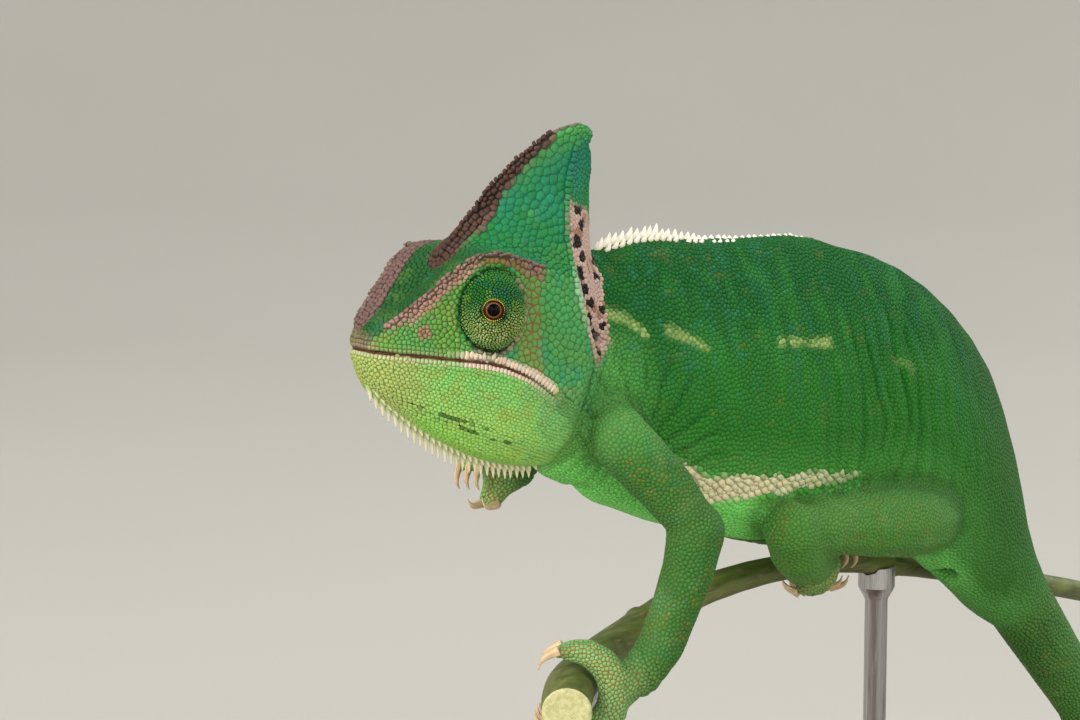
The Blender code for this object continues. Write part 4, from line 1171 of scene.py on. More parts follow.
def head_rows(seeds, surface):
    """The rows of larger scales along the lips, brows and crests of the head."""
    def row(line, shift, pitch, **values):
        row_on_head(seeds, surface, line, shift, pitch, **values)

    labial = dict(spacing=0.9, kill=0.8, height=0.13, gap=0.03, flat=0.9, lean=0, stretch=0.7)
    lower = dict(labial, spacing=0.7, kill=0.72, stretch=0.86)
    small = dict(labial, kill=0.66, stretch=0.9, height=0.12, spacing=0.58)
    beyond = dict(small, spacing=0.6, kill=0.56, stretch=1, height=0.1, gap=0.01)
    rear = MOUTH_LINE[(MOUTH_LINE[:, 0] < 18.6) & (MOUTH_LINE[:, 0] > 3.1)]
    front = MOUTH_LINE[MOUTH_LINE[:, 0] > 18.4]
    for line, raised, pitch, kind in (
            (rear, 0.8, 0.6, labial), (rear, -0.55, 0.56, lower), (front, 0.5, 0.6, small),
            (front, -0.5, 0.56, small), (rear, 1.62, 0.6, beyond),
            (rear, -1.2, 0.56, beyond), (front, 1.05, 0.6, beyond)):
        row(line, (0, 0.1, raised), pitch, **kind)
    row(MOUTH_LINE, (0, 0, 0), 0.3, spacing=0.2, kill=0.3, height=0.02, gap=0, flat=0.85,
        lean=0, stretch=1.2)

    bead = dict(spacing=0.78, kill=0.66, height=0.34, gap=0.015, flat=0.8, lean=0.2,
                stretch=0.9, uneven=0.08)
    flatter = dict(bead, height=0.34, spacing=0.84, stretch=1)
    row(BROW_LINE, (0, 0, 0), 0.7, **bead)
    row(BROW_LINE[:8], (0, -0.8, 0.05), 0.8, **flatter)
    for number in range(1, 4):
        shift = (0, -0.8 - 0.8 * number, 0.05 - 0.2 * number)
        row(BROW_LINE[number // 3:8], shift, 0.8 + 0.03 * number, sides=(-1,), **flatter)
    row(BROW_LINE[:6], (0, 0.35, -0.85), 0.85, **dict(flatter, height=0.2, spacing=0.85))
    row(BROW_LINE[5:], (0, 0.2, -0.8), 0.62, **dict(flatter, height=0.18, stretch=0.8))

    crest = dict(spacing=0.95, kill=0.72, height=0.62, gap=0.015, flat=0.8, lean=0.25,
                 stretch=0.95, uneven=0.11)
    low_crest = dict(crest, spacing=0.86)
    row(CREST_LINE, (0, 0, 0), 0.84, sides=(1,), **crest)
    row(CREST_LINE[:9], (-0.1, 0.8, -0.2), 0.86, **dict(crest, height=0.42))
    row(CREST_LINE[:8], (-0.3, 1.6, -0.5), 0.86, **dict(low_crest, height=0.3))
    row(CREST_LINE[1:6], (-0.5, 2.4, -0.9), 0.86, **dict(low_crest, height=0.24))
    row(TIP_LINE, (0, 0, 0), 0.8, sides=(1,), **dict(low_crest, height=0.2, uneven=0.05))
    row(REAR_LINE, (0, 0, 0), 0.85, **dict(crest, height=0.3, stretch=1.15))


def lid_rings(seeds, surface, rng):
    """Fine granules in rings round each eye."""
    for side, centre in TURRET_CENTRES.items():
        gaze = GAZE_LINES[side]
        across = unit(np.cross(gaze, UPWARD))
        upright = np.cross(across, gaze)
        rings = [(math.asin(radius / 4.4), 0.3) for radius in (1.18, 1.44, 1.72)]
        rings += [(math.radians(27 + 5.3 * number), 0.42) for number in range(15)]
        for tilt, pitch in rings:
            round_length = WHOLE_TURN * 4.55 * math.sin(tilt)
            count = int(round(round_length / pitch))
            places = []
            for number in range(count):
                turn = WHOLE_TURN * (number + 0.5 * (rings.index((tilt, pitch)) % 2)) / count
                heading = gaze * math.cos(tilt) + math.sin(tilt) * (
                    across * math.cos(turn) + upright * math.sin(turn))
                hit = surface.cast(centre, heading)
                if hit is not None and norm(in_head(hit - centre) / TURRET_RADII) < 1.08:
                    places.append(hit)
            if places:
                places = np.array(places)
                if tilt > 0.42:
                    places = places + rng.normal(0, 0.07, places.shape)
                seeds.add(places, unit(places - centre), True, spacing=pitch, kill=pitch * 0.85,
                          height=0.1, gap=0.026, flat=0.7, lean=0, stretch=1)


def throat_rows(seeds, surface, rng):
    """Rows of small scales that run back and down over the sides of the jaw."""
    pitch = 0.52
    for side in (1, -1):
        starts = []
        for row in range(44):
            for step in range(56):
                forward = 28 - step * pitch - (row % 2) * pitch / 2
                height = 20 - row * pitch * 0.88 - 0.36 * (28 - forward)
                starts.append(from_head((forward, side * 14, height)))
        places = surface.cast_all(starts, from_head((0, -side, 0)))
        _settled, normals, _uv = surface.settle(places)
        facing = in_head(normals)[:, 1] * side > 0.42
        places = places[facing & on(surface.owner(places), "lower_jaw")]
        places = places + rng.normal(0, 0.07, places.shape)
        lie = np.tile(from_head((-0.93, 0, -0.36)), (len(places), 1))
        seeds.add(places, lie, True, spacing=0.52, kill=0.45, height=0.14, gap=0.01,
                  flat=0.74, lean=1.1, stretch=1.14)


def flank_band(seeds, surface, rng):
    """The band of longer slanting scales along each flank, laid like bricks."""
    long_way = unit(np.array((0.0, 0.8, -0.6)))
    short_way = np.array((0.0, 0.6, 0.8))
    for side in (1, -1):
        starts = []
        for row in range(-12, 62):
            for step in range(-14, 46):
                place = np.array((0.0, 12.0, 2.0)) + short_way * row * 0.88 \
                    + long_way * (step + 0.5 * (row % 2)) * 1.6
                band, along = side_distance(place[None], BAND_LINE)
                if band[0] <= np.interp(along, BAND_ALONG, BAND_WIDTHS)[0] + 0.35:
                    starts.append(place + np.array((side * 30, 0.0, 0.0)))
        hits = surface.cast_all(starts, (-side, 0, 0))
        hits = hits[on(surface.owner(hits), "trunk")]
        hits = hits + rng.normal(0, 0.1, hits.shape)
        lie = np.tile(long_way, (len(hits), 1))
        seeds.add(hits, lie, True, spacing=1.2, kill=0.8, height=0.2, gap=0.025, flat=0.82,
                  lean=0.8, stretch=1.32)


def scatter(surface, owner_of_face, rng):
    """Random places on the skin, closer together where the scales are smaller."""
    corners = surface.points[surface.triangles]
    middles = corners.mean(axis=1)
    across, upward = corners[:, 1] - corners[:, 0], corners[:, 2] - corners[:, 0]
    area = norm(np.cross(across, upward), axis=1) / 2
    plan = coat_plan(middles, owner_of_face)
    weight = np.cumsum(area / plan["spacing"] ** 2)
    count = int(weight[-1] * 4.2)
    faces = np.searchsorted(weight, rng.random(count) * weight[-1])
    share = rng.random((count, 2))
    fold = share.sum(axis=1) > 1
    share[fold] = 1 - share[fold]
    places = corners[faces, 0] + share[:, :1] * across[faces] + share[:, 1:] * upward[faces]
    return places, owner_of_face[faces]


def tree_of(points):
    tree = KDTree(len(points))
    for index, point in enumerate(points.tolist()):
        tree.insert(point, index)
    tree.balance()
    return tree


def thin_out(seeds, normals):
    """Keeps the seeds that stay clear of all those chosen before them."""
    points = seeds.points
    tree = tree_of(points)
    kill = seeds.values["kill"]
    alive = np.ones(len(points), bool)
    chosen = []
    for index in range(len(points)):
        if not alive[index]:
            continue
        chosen.append(index)
        reach = kill[index]
        for _place, other, far in tree.find_range(points[index], reach * 1.3):
            if other == index or not alive[other]:
                continue
            both = seeds.fixed[index] and seeds.fixed[other]
            clear = (reach + kill[other]) / (3.4 if both else 2)
            if far < clear and normals[index] @ normals[other] > 0:
                alive[other] = False
    return np.array(chosen)


def neighbours_of(points, normals):
    """The nearest other seeds on the same side, as indexes; -1 where there is none."""
    tree = tree_of(points)
    found = np.array([[hit[1] for hit in tree.find_n(point, NEIGHBOURS + 1)]
                      for point in points.tolist()])
    facing = (normals[found] * normals[:, None]).sum(axis=2) > 0.1
    mine = found == np.arange(len(points))[:, None]
    return np.where(facing & ~mine, found, -1)


def spread_out(seeds, surface, rounds):
    """Moves the loose seeds apart until they are evenly spaced."""
    for _round in range(rounds):
        settled, normals, _uv = surface.settle(seeds.points)
        near = neighbours_of(settled, normals)
        away = settled[:, None] - settled[near]
        far = norm(away, axis=2)
        wanted = (seeds.values["spacing"][:, None] + seeds.values["spacing"][near]) * 0.56
        push = np.clip(1 - far / wanted, 0, 1) * (near >= 0)
        moves = (away / np.maximum(far, 1e-6)[..., None] * push[..., None]).sum(axis=1)
        moves *= seeds.values["spacing"][:, None] * 0.3
        moves -= (moves * normals).sum(axis=1)[:, None] * normals
        seeds.points = np.where(seeds.fixed[:, None], settled, settled + moves)
    seeds.points, normals, uv = surface.settle(seeds.points)
    return normals, uv


def axes_on(lies, normals):
    """The directions laid flat on the skin, and those across them."""
    along = unit(lies - (lies * normals).sum(1)[:, None] * normals)
    return along, np.cross(normals, along)


def outline_cells(seeds, normals, near, chunk, sides):
    """Corner directions and distances of each scale, from its neighbours' places."""
    points, spacing = seeds.points, seeds.values["spacing"]
    stretch = seeds.values["stretch"][chunk][:, None]
    along, across = axes_on(seeds.lies[chunk], normals[chunk])
    away = points[near[chunk]] - points[chunk][:, None]
    a = (away * along[:, None]).sum(axis=2) / stretch
    b = (away * across[:, None]).sum(axis=2) * stretch
    square = a * a + b * b
    own, other = spacing[chunk][:, None], spacing[near[chunk]]
    limit = (square + (own ** 2 - other ** 2) * 0.28) / 2
    limit = np.maximum(limit, square * 0.22)
    limit = np.where(near[chunk] >= 0, limit, 1e9)
    turns = np.arange(ANGLES) * WHOLE_TURN / ANGLES
    toward = a[..., None] * np.cos(turns) + b[..., None] * np.sin(turns)
    reach = np.where(toward > 1e-6, limit[..., None] / np.maximum(toward, 1e-6), 1e9)
    reach = np.minimum(reach.min(axis=1), own * 0.8)
    edge = np.stack((reach * np.cos(turns) * stretch, reach * np.sin(turns) / stretch), axis=2)
    ahead = np.roll(edge, -1, axis=1) - edge
    behind = edge - np.roll(edge, 1, axis=1)
    turn = (behind[..., 0] * ahead[..., 1] - behind[..., 1] * ahead[..., 0])
    turn /= norm(ahead, axis=2) * norm(behind, axis=2) + 1e-9
    peak = np.ones(turn.shape, bool)
    for step in (-3, -2, -1, 1, 2, 3):
        peak &= turn >= np.roll(turn, step, axis=1) - 1e-9
    score = np.where(peak, turn, 0)
    score += 0.02 * (np.arange(ANGLES) % (ANGLES // sides) == 0)
    chosen = np.sort(np.argpartition(-score, sides, axis=1)[:, :sides], axis=1)
    corners = np.take_along_axis(edge, chosen[..., None], axis=1)
    return corners, along, across


def even_out(seeds, surface, rounds):
    """Moves each loose seed to the middle of its own patch of skin."""
    turns = np.arange(16) * math.pi / 8
    for _round in range(rounds):
        seeds.points, normals, _uv = surface.settle(seeds.points)
        near = neighbours_of(seeds.points, normals)
        along, across = axes_on(seeds.lies, normals)
        away = seeds.points[near] - seeds.points[:, None]
        a = (away * along[:, None]).sum(axis=2)
        b = (away * across[:, None]).sum(axis=2)
        limit = np.where(near >= 0, (a * a + b * b) / 2, 1e9)
        reach = np.tile(seeds.values["spacing"][:, None], (1, 16))
        for other in range(near.shape[1]):
            toward = a[:, other, None] * np.cos(turns) + b[:, other, None] * np.sin(turns)
            reach = np.where(toward > 1e-6, np.minimum(
                reach, limit[:, other, None] / np.maximum(toward, 1e-6)), reach)
        weight = (reach ** 2).sum(axis=1) * 1.5
        shift_a = (reach ** 3 * np.cos(turns)).sum(axis=1) / weight
        shift_b = (reach ** 3 * np.sin(turns)).sum(axis=1) / weight
        moves = shift_a[:, None] * along + shift_b[:, None] * across
        seeds.points = seeds.points + moves * ~seeds.fixed[:, None]
    seeds.points, normals, uv = surface.settle(seeds.points)
    return normals, uv


def scale_shapes(seeds, surface, normals, uv, near, fine, sides, index):
    """Places and bake places of the points of some of the scales, ring by ring."""
    count = len(index)
    rings = 3 if fine else 2
    places = np.empty((count, sides * rings + 1, 3))
    bake = np.empty((count, sides * rings + 1, 2))
    for start in range(0, count, SCALES_AT_ONCE):
        span = slice(start, start + SCALES_AT_ONCE)
        chunk = index[span]
        corners, along, across = outline_cells(seeds, normals, near, chunk, sides)
        values = {field: value[chunk][:, None] for field, value in seeds.values.items()}
        size = norm(corners, axis=2)
        mean = size.mean(axis=1)[:, None]
        clear = np.clip(1 - values["gap"] / mean, 0.3, 1)[..., None]
        corners = corners * clear
        centre = seeds.points[chunk]
        upward, along, across = normals[chunk][:, None], along[:, None], across[:, None]
        rim = centre[:, None] + corners[..., :1] * along + corners[..., 1:] * across
        on_skin, rim_normals, _uv = surface.settle(rim.reshape(-1, 3))
        on_skin = on_skin.reshape(rim.shape)
        rim_normals = rim_normals.reshape(rim.shape)
        rim = on_skin - rim_normals * 0.05
        height, flat, lean = values["height"], values["flat"], values["lean"]
        rounder = corners / np.maximum(size, 1e-6)[..., None] * mean[..., None]
        inner = 0.65 * corners + 0.35 * rounder * clear
        base = on_skin - centre[:, None]
        tops = [rim]
        shares = ((0.96, 0.45, 0.1), (0.0, 0.92, 0.5)) if fine else ((0.0, 0.84, 0.35),)
        for spread, lift, shift in shares:
            spread = (flat if spread == 0 else np.full_like(flat, spread))[..., None]
            ring = centre[:, None] + base * spread
            ring += (inner - corners)[..., :1] * spread * along
            ring += (inner - corners)[..., 1:] * spread * across
            ring += (height * lift)[..., None] * upward
            ring += (height * shift * lean)[..., None] * along
            tops.append(ring)
        peak = centre + upward[:, 0] * height + along[:, 0] * height * lean * 0.5
        places[span] = np.concatenate(tops + [peak[:, None]], axis=1)
        patch = corners / np.maximum(size.max(axis=1), 1e-6)[:, None, None] * 0.0015
        layers = [patch * share for share in ((1.0, 0.8, 0.55) if fine else (1.0, 0.6))]
        layers.append(np.zeros((len(chunk), 1, 2)))
        bake[span] = uv[chunk][:, None] + np.concatenate(layers, axis=1)
    return places, bake


def scale_faces(rings, sides):
    """Faces of one scale: its underside, its sides and the fan round its top."""
    return [tuple(reversed(range(sides)))] + tube_faces(rings, sides) \
        + fan_faces((rings - 1) * sides, sides, rings * sides)


def scales_mesh(name, places, bake, colours, rings, sides, material):
    """One piece of many scales, each with its own closed shell."""
    count, each = places.shape[:2]
    pattern = scale_faces(rings, sides)
    lengths = np.array([len(face) for face in pattern])
    order = np.concatenate([np.array(face) for face in pattern])
    loops = (order[None] + np.arange(count)[:, None] * each).ravel()
    totals = np.tile(lengths, count)
    starts = np.concatenate(([0], np.cumsum(totals)[:-1]))
    mesh = bpy.data.meshes.new(name)
    mesh.vertices.add(count * each)
    mesh.loops.add(len(loops))
    mesh.polygons.add(len(totals))
    mesh.loops.foreach_set("vertex_index", loops.astype(np.int32))
    mesh.polygons.foreach_set("loop_start", starts.astype(np.int32))
    put_points(mesh, places.reshape(-1, 3))
    mesh.update(calc_edges=True)
    smooth = np.tile(lengths != sides, count)
    mesh.polygons.foreach_set("use_smooth", smooth)
    paint_points(mesh, colours.reshape(-1, 3))
    put_bake(mesh, bake.reshape(-1, 2)[loops])
    mesh.materials.append(material)
    piece = link(bpy.data.objects.new(name, mesh))
    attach(piece, "root")
    return piece


# The solids under each piece of the coat, its finish slot and its scales' rings and sides.
COAT_PIECES = {
    "scales_casque": (["casque"], "skin_head", 3, 8),
    "scales_head": (["head"], "skin_head", 3, 8),
    "scales_jaw": (["lower_jaw"], "skin_throat", 3, 6),
    "scales_lids": (LID_NODES, "skin_head", 2, 7),
    "scales_neck": (["neck"], "skin_body", 2, 7),
    "scales_trunk": (["trunk", "tail_root"], "skin_body", 2, 6),
    "scales_tail": (TAIL_NODES[1:], "skin_tail", 2, 6),
    "scales_arms": (ARM_NODES, "skin_limb", 2, 7),
    "scales_legs": (LEG_NODES, "skin_limb", 2, 6),
}
TRUNK_CUT = 45.0


def grow_coat(surface, material):
    rng = np.random.default_rng(11)
    seeds = Seeds()
    head_rows(seeds, surface)
    lid_rings(seeds, surface, rng)
    flank_band(seeds, surface, rng)
    throat_rows(seeds, surface, rng)
    middles = surface.points[surface.triangles].mean(axis=1)
    owner_of_face = surface.owner(middles)
    places, owner = scatter(surface, owner_of_face, rng)
    lips, _along = line_distance(mirrored(in_head(places)), MOUTH_LINE)
    loose = (lips > 0.75) | ~on(owner, "head", "lower_jaw")
    places, owner = places[loose], owner[loose]
    plan = coat_plan(places, owner)
    seeds.add(places, lie_of(places, owner), False, kill=plan["spacing"] * 0.77, **plan)
    _settled, normals, _uv = surface.settle(seeds.points)
    seeds.keep(thin_out(seeds, normals))
    spread_out(seeds, surface, 3)
    normals, uv = even_out(seeds, surface, 2)
    for side in GAZES:
        radius, depth = eye_radius(seeds.points, side)
        open_eye = (radius < 1.12) & (depth > 2)
        seeds.keep(~open_eye)
        normals, uv = normals[~open_eye], uv[~open_eye]
    near = neighbours_of(seeds.points, normals)
    owner = surface.owner(seeds.points)
    both = np.concatenate(skin_colours(seeds.points, owner), axis=1)
    both = soften_meetings(seeds.points, owner, near, both)
    colour, gap = both[:, :3], both[:, 3:]
    tone = 1 + 0.16 * (rng.random((len(colour), 1)) - 0.5)
    warm = 1 + 0.12 * (rng.random((len(colour), 1)) - 0.5) * np.array((1.0, 0.0, -1.0))
    colour = colour * tone * warm
    for name, (nodes, slot, rings, sides) in COAT_PIECES.items():
        mask = on(owner, *nodes)
        parts = [("", mask)]
        left = seeds.points[:, 0] >= 0
        if name in ("scales_trunk", "scales_arms", "scales_legs"):
            parts = [("_left", mask & left), ("_right", mask & ~left)]
        if name == "scales_trunk":
            rear = seeds.points[:, 1] > TRUNK_CUT
            parts = [(label + place, chosen & where) for label, chosen in parts
                     for place, where in (("_front", ~rear), ("_rear", rear))]
        for suffix, chosen in parts:
            index = np.flatnonzero(chosen)
            places, bake = scale_shapes(seeds, surface, normals, uv, near, rings == 3, sides,
                                        index)
            # Partly the gap skin's own colour, partly painted shade and highlight: each scale's
            # rim and sides take part of the gap colour, darker than its top, and its peak is
            # painted 6% lighter.
            edge = 0.55 * gap[index] + 0.45 * colour[index]
            shades = [edge, 0.2 * gap[index] + 0.8 * colour[index], colour[index]]
            if rings == 2:
                shades = [edge, colour[index]]
            layers = [np.repeat(shade[:, None], sides, axis=1) for shade in shades]
            layers.append((colour[index] * 1.06)[:, None])
            piece = scales_mesh(name + suffix, places, bake, np.concatenate(layers, axis=1),
                                rings, sides, material)


# ---------------------------------------------------------------- crests, eyes and claws

CONE_SIDES = 10


def cone_shape(root, tip, across, along, half_across, half_along, bend):
    """Rings of a soft cone that curves towards its tip."""
    rings = []
    for share in (0.0, 0.22, 0.45, 0.68, 0.87):
        centre = root + (tip - root) * share - bend * math.sin(math.pi * share)
        size = (1 - share) ** 0.75
        ring = []
        for number in range(CONE_SIDES):
            turn = WHOLE_TURN * number / CONE_SIDES
            ring.append(centre + across * math.cos(turn) * half_across * size
                        + along * math.sin(turn) * half_along * size)
        rings.append(ring)
    return rings


def cones_piece(name, surface, cones, base_colour, tip_colour, material):
    """All the cones of one crest, with one colour at the root and another at the tip."""
    points, faces, colours, bake = [], [], [], []
    turns = np.arange(CONE_SIDES) * WHOLE_TURN / CONE_SIDES
    patch = np.stack((np.cos(turns), np.sin(turns)), axis=1) * 0.0015
    for root, tip, across, along, half_across, half_along, bend, green in cones:
        base = len(points)
        place = surface.settle([root])[2]
        rings = cone_shape(root, tip, across, along, half_across, half_along, bend)
        for number, ring in enumerate(rings):
            share = number / (len(rings) - 1)
            points += ring
            mix = rise(0, 0.55, share)
            colours += [base_colour * green * (1 - mix) + tip_colour * mix] * CONE_SIDES
            bake += (place + patch * (1 - share * 0.8)).tolist()
        points.append(tip)
        colours.append(tip_colour)
        bake.append(place[0].tolist())
        faces += tube_faces(len(rings), CONE_SIDES, base)
        faces += fan_faces(len(points) - 1 - CONE_SIDES, CONE_SIDES, len(points) - 1)
        faces.append(tuple(reversed(range(base, base + CONE_SIDES))))
    piece = mesh_piece(name, points, faces, np.array(colours), np.array(bake))
    tidy_normals(piece)
    piece.data.materials.append(material)
    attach(piece, "root")


CHIN_CONES = 27
CHIN_FIRST, CHIN_LAST = 26.0, 1.4
CHIN_LENGTH = 2.55
BACK_FIRST = 13.4
BACK_LAST = 56.0
BACK_PITCH = 1.35
BACK_FADE = (8, 13, 22, 28, 34, 44, 56)
BACK_LENGTHS = (1.2, 1.9, 1.8, 1.2, 0.6, 0.4, 0.25)


def build_crests(surface, material):
    rng = np.random.default_rng(5)
    cones = []
    for number in range(CHIN_CONES):
        share = number / (CHIN_CONES - 1)
        forward = CHIN_FIRST + (CHIN_LAST - CHIN_FIRST) * share
        length = CHIN_LENGTH * (0.6 + 0.4 * math.sin(math.pi * (0.15 + 0.75 * share)))
        length *= 1 + 0.12 * (rng.random() - 0.5)
        hit = surface.cast(from_head((forward, 0, -20)), (0, 0, 1))
        root = hit + UPWARD * 0.3
        tip = hit - FORWARD * 0.32 - UPWARD * length + LEFTWARD * 0.3 * (rng.random() - 0.5)
        cones.append((root, tip, LEFTWARD, FORWARD, 0.42, 0.5, FORWARD * 0.12, 0.9))
        for side in (1, -1):
            beside = surface.cast(from_head((forward - 0.55, side * 0.85, -20)), (0, 0, 1))
            small = beside - FORWARD * 0.35 - UPWARD * length * 0.42 + LEFTWARD * side * 0.3
            cones.append((beside + UPWARD * 0.25, small, LEFTWARD, FORWARD, 0.36, 0.42,
                          FORWARD * 0.05, 0.9))
    cones_piece("chin_crest", surface, cones, LIME * 0.8, CONE_CREAM, material)

    cones = []
    back = BACK_FIRST - 1.5
    ahead = np.array((0.0, 1.0, 0.0))
    aside = np.array((1.0, 0.0, 0.0))
    while back < BACK_LAST:
        length = np.interp(back, BACK_FADE, BACK_LENGTHS) * (1 + 0.35 * (rng.random() - 0.5))
        hit = surface.cast((0, back, 60), (0, 0, -1))
        tip = hit + UPWARD * length + ahead * length * 0.55 + aside * 0.3 * (rng.random() - 0.5)
        cones.append((hit - UPWARD * 0.4, tip, aside, ahead, 0.62, 0.86, -ahead * 0.15, 1.0))
        for side in (1, -1):
            if length < 0.5 or rng.random() < 0.15:
                continue
            beside = surface.cast((side * 0.95, back + 0.8, 60), (0, 0, -1))
            small = beside + UPWARD * length * 0.6 + ahead * length * 0.4 + aside * side * 0.25
            cones.append((beside - UPWARD * 0.3, small, aside, ahead, 0.5, 0.66,
                          -ahead * 0.1, 1.0))
        back += BACK_PITCH * (1 + 0.25 * (rng.random() - 0.5))
    cones_piece("back_crest", surface, cones, CREST_ROOT, CREST_CREAM, material)


EYE_SIZE = 2.25
EYE_RINGS = 40
EYE_SIDES = 48


def build_eyes(material):
    """Each eyeball, with its pupil and rings turned along the line of sight."""
    for side, centre in EYE_CENTRES.items():
        gaze = GAZE_LINES[side]
        across = unit(np.cross(gaze, UPWARD))
        upright = np.cross(across, gaze)
        points, colours = [centre + gaze * EYE_SIZE], [BLACK_SPOT * 0.1]
        for ring in range(1, EYE_RINGS):
            tilt = math.pi * (ring / EYE_RINGS) ** 1.35
            radius = EYE_SIZE * math.sin(tilt)
            near = tilt < math.pi / 2
            for number in range(EYE_SIDES):
                turn = WHOLE_TURN * number / EYE_SIDES
                points.append(centre + gaze * EYE_SIZE * math.cos(tilt) + radius * (
                    across * math.cos(turn) + upright * math.sin(turn)))
                flecks = 0.85 + 0.3 * math.sin(number * 2.4 + ring)
                colour = LID_GROOVE
                for reach, inner in ((BROWN_RADIUS, IRIS_BROWN * flecks),
                                     (GOLD_RADIUS, IRIS_GOLD * flecks),
                                     (PUPIL_RADIUS, BLACK_SPOT * 0.1)):
                    colour = inner if near and radius < reach else colour
                colours.append(colour)
        points.append(centre - gaze * EYE_SIZE)
        colours.append(LID_GROOVE)
        faces = fan_faces(1, EYE_SIDES, 0) + tube_faces(EYE_RINGS - 1, EYE_SIDES, 1)
        last = len(points) - 1
        faces += fan_faces(last - EYE_SIDES, EYE_SIDES, last)
        piece = mesh_piece(f"eyeball_{side}", points, faces, np.array(colours))
        tidy_normals(piece)
        piece.data.materials.append(material)
        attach(piece, "root")
        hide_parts(f"eye_{side}")


def tidy_normals(piece):
    with opened(piece.data) as bm:
        bmesh.ops.recalc_face_normals(bm, faces=bm.faces)


PUPIL_RADIUS = 0.8
GOLD_RADIUS = 0.93
BROWN_RADIUS = 1.4
IRIS_GOLD = swatch(128, 92, 48)
IRIS_BROWN = swatch(50, 22, 12)


def joined_copy(name, nodes, levels, change=None):
    """Merged copies of some CAD nodes as one finer, rounder piece."""
    copies = []
    for node in nodes:
        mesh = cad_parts[node].data.copy()
        with opened(mesh) as bm:
            bmesh.ops.remove_doubles(bm, verts=bm.verts, dist=1e-6)
            bmesh.ops.dissolve_limit(bm, angle_limit=math.radians(1), verts=bm.verts,
                                     edges=bm.edges)
        mesh.materials.clear()
        if change:
            change(mesh)
        copies.append(link(bpy.data.objects.new(f"{name}_{node}", mesh)))
    choose(copies[0])
    for copy in copies[1:]:
        copy.select_set(True)
    if len(copies) > 1:
        bpy.ops.object.join()
    piece = bpy.context.view_layer.objects.active
    piece.name = piece.data.name = name
    if levels:
        crease_caps(piece)
        subdivision = piece.modifiers.new("rounding", "SUBSURF")
        subdivision.levels = subdivision.render_levels = levels
        apply_modifiers(piece)
    piece.data.shade_smooth()
    piece.data.materials.clear()
    return piece


def crease_caps(piece):
    """Keeps the flat ends of a round piece flat when it is made finer."""
    with opened(piece.data) as bm:
        sharp = bm.edges.layers.float.new("crease_edge")
        for edge in bm.edges:
            if len(edge.link_faces) == 2 and edge.calc_face_angle() > math.radians(55):
                edge[sharp] = 1.0


def sink_root(mesh):
    """Moves a claw's root cap back into the toe that it grows from."""
    with opened(mesh) as bm:
        cap = max(bm.faces, key=lambda face: face.calc_area() * len(face.verts))
        middle = cap.calc_center_median()
        for vert in cap.verts:
            vert.co = middle + (vert.co - middle) * 1.15 + cap.normal * CLAW_ROOT * MM


CLAW_ROOT = 1.5


def build_claws(material):
    for foot in FEET:
        nodes = [f"claw_{foot}_{number}" for number in range(1, 6)]
        piece = joined_copy(f"claws_{foot}", nodes, 2, sink_root)
        streak = mottle(points_of(piece.data), 0.5, 91)[:, None]
        paint_points(piece.data, CLAW_TAN * (1 + 0.18 * streak))
        piece.data.materials.append(material)
        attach(piece, "root")
        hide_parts(*nodes)


CLAW_TAN = swatch(206, 178, 140)


# ---------------------------------------------------------------- perch and stand

def build_perch(material, end_material):
    """The cut stem, made rounder, with ring scars and pale cut ends."""
    piece = joined_copy("stem", ["perch"], 3)
    mesh = piece.data
    points = points_of(mesh)
    normals = normals_of(mesh)
    back = points[:, 1]
    moved = 0.05 * mottle(points, (1.2, 5, 1.2), 95) + 0.06 * mottle(points, 3, 96)
    for scar in STEM_SCARS:
        moved += 0.32 * bump(back + 0.3 * np.sin(points[:, 0]), scar, 0.5)
        moved -= 0.1 * bump(back, scar + 0.9, 0.25)
    in_front = back < back.mean()
    facing = np.where(in_front, normals @ STEM_CUTS[0], normals @ STEM_CUTS[1])
    put_points(mesh, points + normals * (moved * (facing < 0.6))[:, None])
    mesh.materials.append(material)
    mesh.materials.append(end_material)
    for polygon in mesh.polygons:
        cut = STEM_CUTS[int(polygon.center.y > 0)]
        polygon.material_index = int(np.array(polygon.normal) @ cut > 0.9)
    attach(piece, "root")
    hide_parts("perch")


STEM_SCARS = (24.5, 88, 121)
STEM_CUTS = np.array([(0.69, -0.72, -0.11), (-0.06, 0.97, -0.26)])


def build_base(material):
    """The stand's board: a rounded slab with softened edges."""
    low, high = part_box("stand_base")
    size = high - low
    bpy.ops.mesh.primitive_cube_add(size=1.0, location=(low + high) / 2, scale=size)
    piece = bpy.context.active_object
    piece.name = piece.data.name = "display_base"
    bpy.ops.object.transform_apply(location=True, rotation=True, scale=True)
    with opened(piece.data) as bm:
        upright = [edge for edge in bm.edges
                   if abs(edge.verts[0].co.z - edge.verts[1].co.z) > size.z / 2]
        bmesh.ops.bevel(bm, geom=upright, offset=14 * MM, segments=14, affect="EDGES",
                        profile=0.5)
        for height, offset, segments in ((high.z, 2.0, 6), (low.z, 0.5, 2)):
            rim = [edge for edge in bm.edges
                   if all(abs(vert.co.z - height) < 0.0001 for vert in edge.verts)
                   and len({round(face.normal.z) for face in edge.link_faces}) > 1]
            bmesh.ops.bevel(bm, geom=rim, offset=offset * MM, segments=segments,
                            affect="EDGES", profile=0.5)
    piece.data.materials.append(material)
    choose(piece)
    bpy.ops.object.shade_smooth_by_angle(angle=math.radians(30))
    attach(piece, "root")
    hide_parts("stand_base")


def build_rods(material):
    for place in ("front", "rear"):
        node = f"stand_rod_{place}"
        piece = joined_copy(f"rod_{place}", [node], 0)
        piece.data.materials.append(material)
        choose(piece)
        bpy.ops.object.shade_smooth_by_angle(angle=math.radians(35))
        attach(piece, "root")
        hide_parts(node)


# ---------------------------------------------------------------- materials

def set_values(node, **settings):
    """Sets a node's own properties, and its inputs with _ for each space in a label."""
    for label, value in settings.items():
        if hasattr(node, label):
            setattr(node, label, value)
        else:
            node.inputs[label.replace("_", " ")].default_value = value


def add_node(tree, kind, **settings):
    node = tree.nodes.new("ShaderNode" + kind)
    set_values(node, **settings)
    return node


